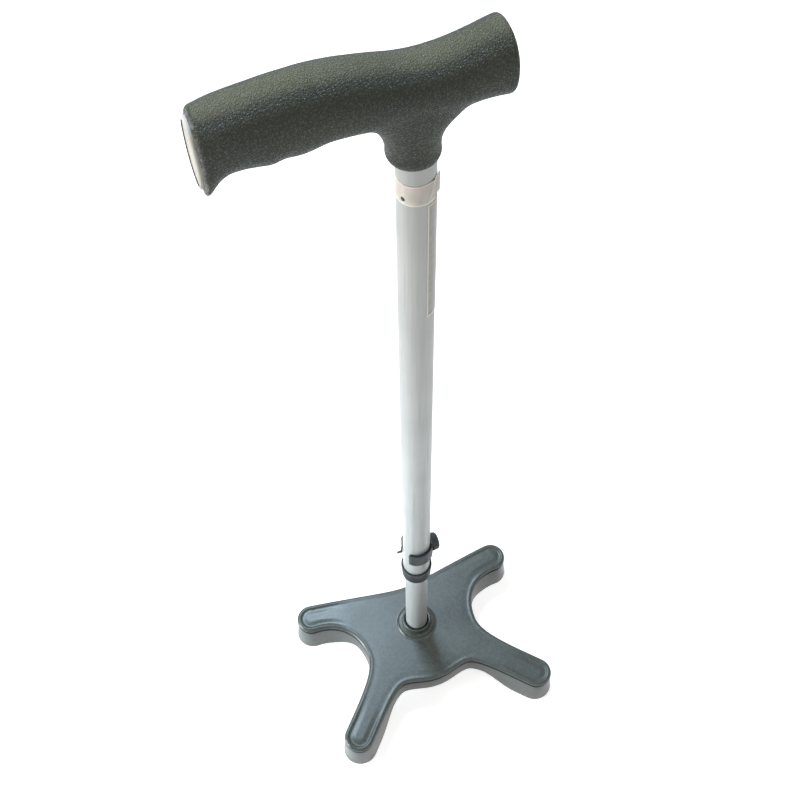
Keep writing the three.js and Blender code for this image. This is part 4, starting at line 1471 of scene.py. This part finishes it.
# Locking clip
class CANE_OT_locking_clip(bpy.types.Operator):
    """Springy clip with its button, its two arms and the locking pin"""

    bl_idname = "cane.locking_clip"
    bl_label = "Locking clip"

    def section(self, turn, centre, half, low, high, edge):
        """Places round one section of the band, with rounded corners."""
        soft = min(edge, half * 0.9)
        ring = []
        for quarter, (side, up) in enumerate(((1, 1), (-1, 1), (-1, -1), (1, -1))):
            start = quarter * math.pi / 2
            corner = (centre + side * (half - soft), high - soft if up > 0 else low + soft)
            for radius, level in arc(soft, start, start + math.pi / 2, CORNER_POINTS, corner):
                ring.append(Vector((radius * math.cos(turn), radius * math.sin(turn), level)))
        return ring

    def arm(self, clip, end_angle, side, round_low):
        """One arm from its round knuckle to its tip. Side is 1 on the +Y side, else -1."""
        low, high = bottom("clip_arm_front"), top("clip_arm_front")
        half = clip.band / 2
        centre = half_width("upper_tube") + FIT + half
        root = clip.root + FIT / centre
        length = (end_angle - root) * centre - (clip.tip - half)

        def fullness(share_in):
            """How much of the full size is left at a share of the way in from a round end."""
            return max(math.sqrt(1 - (1 - min(share_in, 1)) ** 2), 0.1)

        alongs = [half * inward for inward, _ in QUARTER]
        alongs += list(np.linspace(half, length - clip.corner, ARM_ROWS)[1:-1])
        alongs += [length - clip.corner * inward for inward, _ in QUARTER[::-1]]
        rings = []
        for along in alongs:
            thick = half * fullness(min(along, length - along) / half)
            drop = clip.corner * (1 - fullness((length - along) / clip.corner))
            floor = low + drop if round_low else low
            turn = side * (root + along / centre)
            rings.append(self.section(turn, centre, thick, floor, high - drop, clip.edge))
        return lofted(rings)

    def knob(self, clip, centre, outer, face):
        """The button, turned upright. Its rim is round and its face is dished."""
        flare, dish = clip.button_flare, clip.dish
        profile = [
            (0, centre),
            (clip.button + flare / 2, centre),
            (clip.button + flare / 4, outer + flare / 2),
            (clip.button, outer + flare * 1.5),
        ]
        for inward, down in QUARTER:
            rim = clip.button - clip.button_round * inward
            profile.append((rim, face - clip.button_round * down))
        profile.append((clip.button * 0.6, face - dish / 3))
        profile.append((clip.button * 0.3, face - dish))
        profile.append((0, face - dish))
        return turned(profile, steps=KNOB_STEPS)

    def execute(self, context):
        clip = context.scene.cane_clip
        inner = half_width("upper_tube") + FIT
        outer = inner + clip.band
        centre = inner + clip.band / 2
        low, high = bottom("clip_arm_front"), top("clip_arm_front")
        level = middle("lock_pin").z
        face = along_x("clip_body")[1]
        pin_radius = half_width("lock_pin")
        plan = arc(outer, -clip.root, clip.root, BAND_POINTS)
        plan += arc(inner, clip.root, -clip.root, BAND_POINTS)
        body = solid("clip_button", round_edges(raised(plan, low, high), clip.edge))
        carve(body, [pointing(self.knob(clip, centre, outer, face), level)], "UNION")
        bore = cross_rod(pin_radius + FIT, inner / 2, face - clip.pin_cover, level)
        carve(body, [bore, rod(inner, low - OVERRUN, high + OVERRUN)])
        place_piece(body, "clip", "clip_plastic", "clip_body")

        rear_arm = solid("clip_band_rear", self.arm(clip, clip.rear_end, 1, False))
        start = clip.rear_end - 2 * clip.tip / centre
        thick = inner + clip.finger
        lip = (thick * math.cos(clip.finger_end) - clip.lip, thick * math.sin(clip.finger_end))
        finger = [
            *arc(thick, start, clip.finger_end, FINGER_POINTS),
            lip,
            *arc(inner, clip.finger_end, start, FINGER_POINTS),
        ]
        prong = round_edges(raised(finger, low, low + clip.finger_height), clip.finger_edge)
        carve(rear_arm, [prong], "UNION")
        place_piece(rear_arm, "clip_arm_rear", "clip_plastic", "clip_arm_rear")

        front_arm = solid("clip_band_front", self.arm(clip, clip.front_end, -1, True))
        place_piece(front_arm, "clip_arm_front", "clip_plastic", "clip_arm_front")

        pin = round_edges(cross_rod(pin_radius, *along_x("lock_pin"), level), clip.pin_tip)
        place_piece(solid("locking_pin", pin), "clip", "fastener_steel", "lock_pin")
        return {"FINISHED"}


# Handle
def vertex_vectors(mesh, name):
    """One vector of every vertex, as rows of three numbers."""
    values = np.zeros(len(mesh.vertices) * 3)
    mesh.vertices.foreach_get(name, values)
    return values.reshape(-1, 3)


class CANE_OT_grip(bpy.types.Operator):
    """Soft pebbled grip with finger waves and a neck that sleeves the tube"""

    bl_idname = "cane.grip"
    bl_label = "Grip"

    nose_wear: share(0.85, "Nose wear", "Wear on the rim of the nose")
    # The rear rim's pale mark is rubbed wear and a painted sheen
    rear_wear_and_sheen: share(0.6, "Rear wear and sheen", "Wear on the rim of the rear end")

    def bar(self, handle, axis, rear, nose):
        """The grip's long body, with its waves and its two round ends."""
        soft, half = handle.end_round, handle.half_height
        stations = [(rear + soft * inward, soft * down) for inward, down in QUARTER]
        stations += [(x, 0) for x in np.linspace(rear + soft, nose - soft, GRIP_ROWS)[1:-1]]
        stations += [(nose - soft * inward, soft * down) for inward, down in QUARTER[::-1]]
        shares = smooth_rows(GRIP_SECTION_SHARES, [(x - rear) / (nose - rear) for x, _ in stations])
        rings = []
        for (x, shrink), (high, low, width) in zip(stations, shares):
            centre = axis + (high - low) / 2 * half
            rise = (high + low) / 2 * half - shrink
            rings.append(oval_ring(x, centre, rise, width * handle.half_width - shrink, GRIP_SIDES))
        return lofted(rings)

    def neck(self, handle, level, rim):
        """The sleeve round the tube, from its rim up into the bar."""
        places = np.linspace(NECK_SECTION_SHARES[0][0], NECK_SECTION_SHARES[-1][0], NECK_ROWS)
        rings = []
        for place, (rear, front, width) in zip(places, smooth_rows(NECK_SECTION_SHARES, places)):
            ring = []
            for i in range(GRIP_SIDES):
                turn = math.tau * i / GRIP_SIDES
                reach = rear if math.cos(turn) < 0 else front
                x = math.cos(turn) * reach * handle.neck_length - handle.neck_shift
                y = math.sin(turn) * width * handle.neck_width
                ring.append(Vector((x, y, rim + place * (level - rim))))
            rings.append(ring)
        return lofted(rings)

    def melt_junction(self, grip, rim):
        """Smooths away the crease where the neck meets the bar."""
        group = grip.vertex_groups.new(name="junction")
        for vert in grip.data.vertices:
            height = (vert.co.z - rim) / MM
            above = smoothstep(*MELT_START, height) - smoothstep(*MELT_END, height)
            beside = 1 - smoothstep(*MELT_REACH, abs(vert.co.x) / MM)
            if above * beside > 0:
                group.add([vert.index], above * beside, "REPLACE")
        self.smoothed(grip, MELT_ROUNDS, group.name)
        settle(grip)
        grip.vertex_groups.clear()

    def smoothed(self, grip, rounds, group=""):
        smooth = grip.modifiers.new("smooth", "SMOOTH")
        smooth.factor = 0.5
        smooth.iterations = rounds
        smooth.vertex_group = group

    def execute(self, context):
        handle = context.scene.cane_handle
        rear, nose = along_x("handle_grip")
        level = top("upper_tube")
        axis = level + handle.axis_rise
        rim = bottom("handle_grip")
        grip = solid("soft_grip", self.bar(handle, axis, rear, nose))
        carve(grip, [self.neck(handle, level, rim)], "UNION")
        remesh = grip.modifiers.new("skin", "REMESH")
        remesh.mode = "VOXEL"
        remesh.voxel_size = handle.voxel
        self.smoothed(grip, SKIN_ROUNDS)
        settle(grip)
        self.melt_junction(grip, rim)

        places = vertex_vectors(grip.data, "co")
        waves = [noise.noise(Vector(place) * UNEVEN_DENSITY) for place in places]
        moves = np.array(waves) * handle.unevenness
        places += vertex_vectors(grip.data, "normal") * moves[:, None]
        grip.data.vertices.foreach_set("co", places.ravel())

        high, wide = handle.core_height + FIT, handle.core_width + FIT
        ends = (rear - OVERRUN, along_x("handle_core")[1] + FIT)
        slot = lofted([oval_ring(x, axis, high, wide, CORE_SIDES) for x in ends])
        high, wide = handle.cap_height + FIT, handle.cap_width + FIT
        ends = (rear - OVERRUN, rear + handle.cap_recess)
        middle_level = axis - handle.cap_drop
        recess = lofted([oval_ring(x, middle_level, high, wide, TURN_STEPS) for x in ends])
        carve(grip, [rod(half_width("upper_tube") + FIT, rim - OVERRUN, axis), slot, recess])

        wear = grip.data.attributes.new("wear", "FLOAT", "POINT")
        # Marks on the end rims: wear at the nose, wear and painted sheen at the rear
        nose_rub = [nose - inward * MM for inward in NOSE_RUB]
        rear_rub_and_sheen = [rear + inward * MM for inward in REAR_RUB_AND_SHEEN]
        marked = [
            self.nose_wear * smoothstep(*nose_rub, x) + self.rear_wear_and_sheen * smoothstep(*rear_rub_and_sheen, x)
            for x in vertex_vectors(grip.data, "co")[:, 0]
        ]
        wear.data.foreach_set("value", np.array(marked, np.float32))
        place_piece(grip, "upper", "grip_plastic", "handle_grip")
        return {"FINISHED"}


class CANE_OT_end_cap(bpy.types.Operator):
    """Pale oval cap in the rear end of the grip"""

    bl_idname = "cane.end_cap"
    bl_label = "End cap"

    border: size(1.7, "Border", "Width of the border round the cap's inner field")
    slope: size(0.1, "Slope", "Width of the slope from the border down to the inner field")

    def execute(self, context):
        handle = context.scene.cane_handle
        face, plug_end = along_x("handle_end_cap")
        back = along_x("handle_grip")[0] + handle.cap_recess - FIT / 3
        axis = top("upper_tube") + handle.axis_rise
        soft = handle.cap_round
        sunk = face + handle.cap_step
        stations = [(back, 0, 0)]
        stations += [(face + soft * down, soft * inward, 0) for inward, down in QUARTER]
        # The slope from the border down to the sunk field, and the field's edge, are painted dark
        # as painted shade in the step
        stations += [
            (face, self.border - 2 * self.slope, 0),
            (face + handle.cap_step / 12, self.border, 1),
            (sunk, self.border + self.slope, 1),
            (sunk, self.border + 3 * self.slope, 0.5),
            (sunk, self.border + 8 * self.slope, 0),
            (sunk, handle.cap_width * 0.7, 0),
        ]
        bm = bmesh.new()
        wear = bm.verts.layers.float.new("wear")
        rings = []
        for x, shrink, dark in stations:
            high, wide = handle.cap_height - shrink, handle.cap_width - shrink
            places = oval_ring(x, axis - handle.cap_drop, high, wide, CAP_SIDES)
            rings.append(next_ring(bm, rings[-1], places) if rings else first_ring(bm, places))
            for vert in rings[-1]:
                vert[wear] = dark
        for ring in (rings[0], rings[-1]):
            bm.faces.new(ring)
        bmesh.ops.recalc_face_normals(bm, faces=bm.faces)
        cap = solid("end_plate", bm)
        high, wide = handle.core_height, handle.core_width
        ends = (back - soft, plug_end)
        plug = lofted([oval_ring(x, axis, high, wide, CORE_SIDES) for x in ends])
        carve(cap, [plug], "UNION")
        place_piece(cap, "upper", "cap_plastic", "handle_end_cap")
        return {"FINISHED"}


class CANE_OT_inner_pieces(bpy.types.Operator):
    """Finish of the inner pieces, which keep their shape"""

    bl_idname = "cane.inner_pieces"
    bl_label = "Inner pieces"

    def execute(self, context):
        for node in ("lower_tube_plug", "glide_plug", "handle_core"):
            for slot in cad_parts[node].material_slots:
                slot.material = finish("inner_nylon")
        return {"FINISHED"}


# Stage
class CANE_OT_stage(bpy.types.Operator):
    """Pale floor, soft studio light and the camera"""

    bl_idname = "cane.stage"
    bl_label = "Stage"

    floor_size: bpy.props.FloatProperty(
        name="Floor", description="Length of the floor's sides", default=8, unit="LENGTH"
    )

    def seen_directly(self, nodes):
        """1 for rays from the camera, a mirror or clear glass, else 0."""
        path = nodes.put("ShaderNodeLightPath")
        direct = nodes.calculate("MAXIMUM", path["Is Camera Ray"], path["Is Glossy Ray"])
        return nodes.calculate("MAXIMUM", direct, path["Is Transmission Ray"])

    def floor(self, studio):
        bm = bmesh.new()
        bmesh.ops.create_grid(bm, x_segments=1, y_segments=1, size=self.floor_size / 2)
        floor = solid("floor", bm)
        material = bpy.data.materials.new("floor")
        material.use_nodes = True
        material.node_tree.nodes.clear()
        nodes = Nodes(material.node_tree)
        white = (studio.floor, studio.floor, studio.floor, 1)
        lit = nodes.put("ShaderNodeBsdfDiffuse", {"Color": white})[0]
        glow = nodes.put("ShaderNodeEmission", {"Strength": studio.glow})[0]
        bright = nodes.put("ShaderNodeAddShader", {0: lit, 1: glow})[0]
        inputs = {"Fac": self.seen_directly(nodes), 1: lit, 2: bright}
        mixed = nodes.put("ShaderNodeMixShader", inputs)[0]
        nodes.put("ShaderNodeOutputMaterial", {"Surface": mixed})
        floor.data.materials.append(material)

    def world(self, scene, studio):
        world = bpy.data.worlds.new("studio")
        world.use_nodes = True
        nodes = Nodes(world.node_tree)
        back = world.node_tree.nodes["Background"].inputs
        back["Color"].default_value = (1, 1, 1, 1)
        level = nodes.map_range(self.seen_directly(nodes), 0.0, 1.0, studio.sky, 1.0)
        nodes.feed(back["Strength"], level)
        scene.world = world

    def lamp(self, name, power, way, height, distance, width, colour, spread):
        light = bpy.data.lights.new(name, "AREA")
        light.shape = "SQUARE"
        light.size = width
        light.energy = power
        light.color = colour
        light.spread = math.radians(spread)
        lamp = bpy.data.objects.new(name, light)
        direction = Vector(way).normalized()
        lamp.location = Vector((0, 0, height)) + direction * distance
        lamp.rotation_euler = direction.to_track_quat("Z", "Y").to_euler()
        bpy.context.scene.collection.objects.link(lamp)

    def execute(self, context):
        scene = context.scene
        studio = scene.cane_studio
        self.floor(studio)
        self.world(scene, studio)
        for name, settings in LAMPS.items():
            self.lamp(name, getattr(studio, f"{name}_power"), *settings)
        lens = bpy.data.cameras.new("camera")
        lens.lens = CAMERA_LENS
        lens.sensor_width = SENSOR
        camera = bpy.data.objects.new("camera", lens)
        camera.location = CAMERA_PLACE
        camera.rotation_euler = [math.radians(turn) for turn in CAMERA_TURN]
        scene.collection.objects.link(camera)
        scene.camera = camera
        scene.view_settings.view_transform = "Standard"
        return {"FINISHED"}


STEPS = (
    CANE_OT_stage,
    CANE_OT_base_cover,
    CANE_OT_base_body,
    CANE_OT_tube_socket,
    CANE_OT_foot_pads,
    CANE_OT_base_fasteners,
    CANE_OT_lower_tube,
    CANE_OT_upper_tube,
    CANE_OT_tape_and_label,
    CANE_OT_locking_clip,
    CANE_OT_grip,
    CANE_OT_end_cap,
    CANE_OT_inner_pieces,
)


class CANE_PT_sidebar(bpy.types.Panel):
    """Sizes, colours and steps of the cane"""

    bl_idname = "CANE_PT_sidebar"
    bl_label = "Walking cane"
    bl_space_type = "VIEW_3D"
    bl_region_type = "UI"
    bl_category = "Cane"

    def draw(self, context):
        for step in STEPS:
            self.layout.operator(step.bl_idname)
        for name, group in GROUPS.items():
            box = self.layout.box()
            for field in group.__annotations__:
                box.prop(getattr(context.scene, name), field)


CLASSES = (*GROUPS.values(), *STEPS, CANE_PT_sidebar)


def register():
    for made in CLASSES:
        bpy.utils.register_class(made)
    for name, group in GROUPS.items():
        setattr(bpy.types.Scene, name, bpy.props.PointerProperty(type=group))


def unregister():
    for name in GROUPS:
        delattr(bpy.types.Scene, name)
    for made in reversed(CLASSES):
        bpy.utils.unregister_class(made)


def main():
    register()
    for step in STEPS:
        module, name = step.bl_idname.split(".")
        getattr(getattr(bpy.ops, module), name)()


if __name__ == "__main__":
    main()
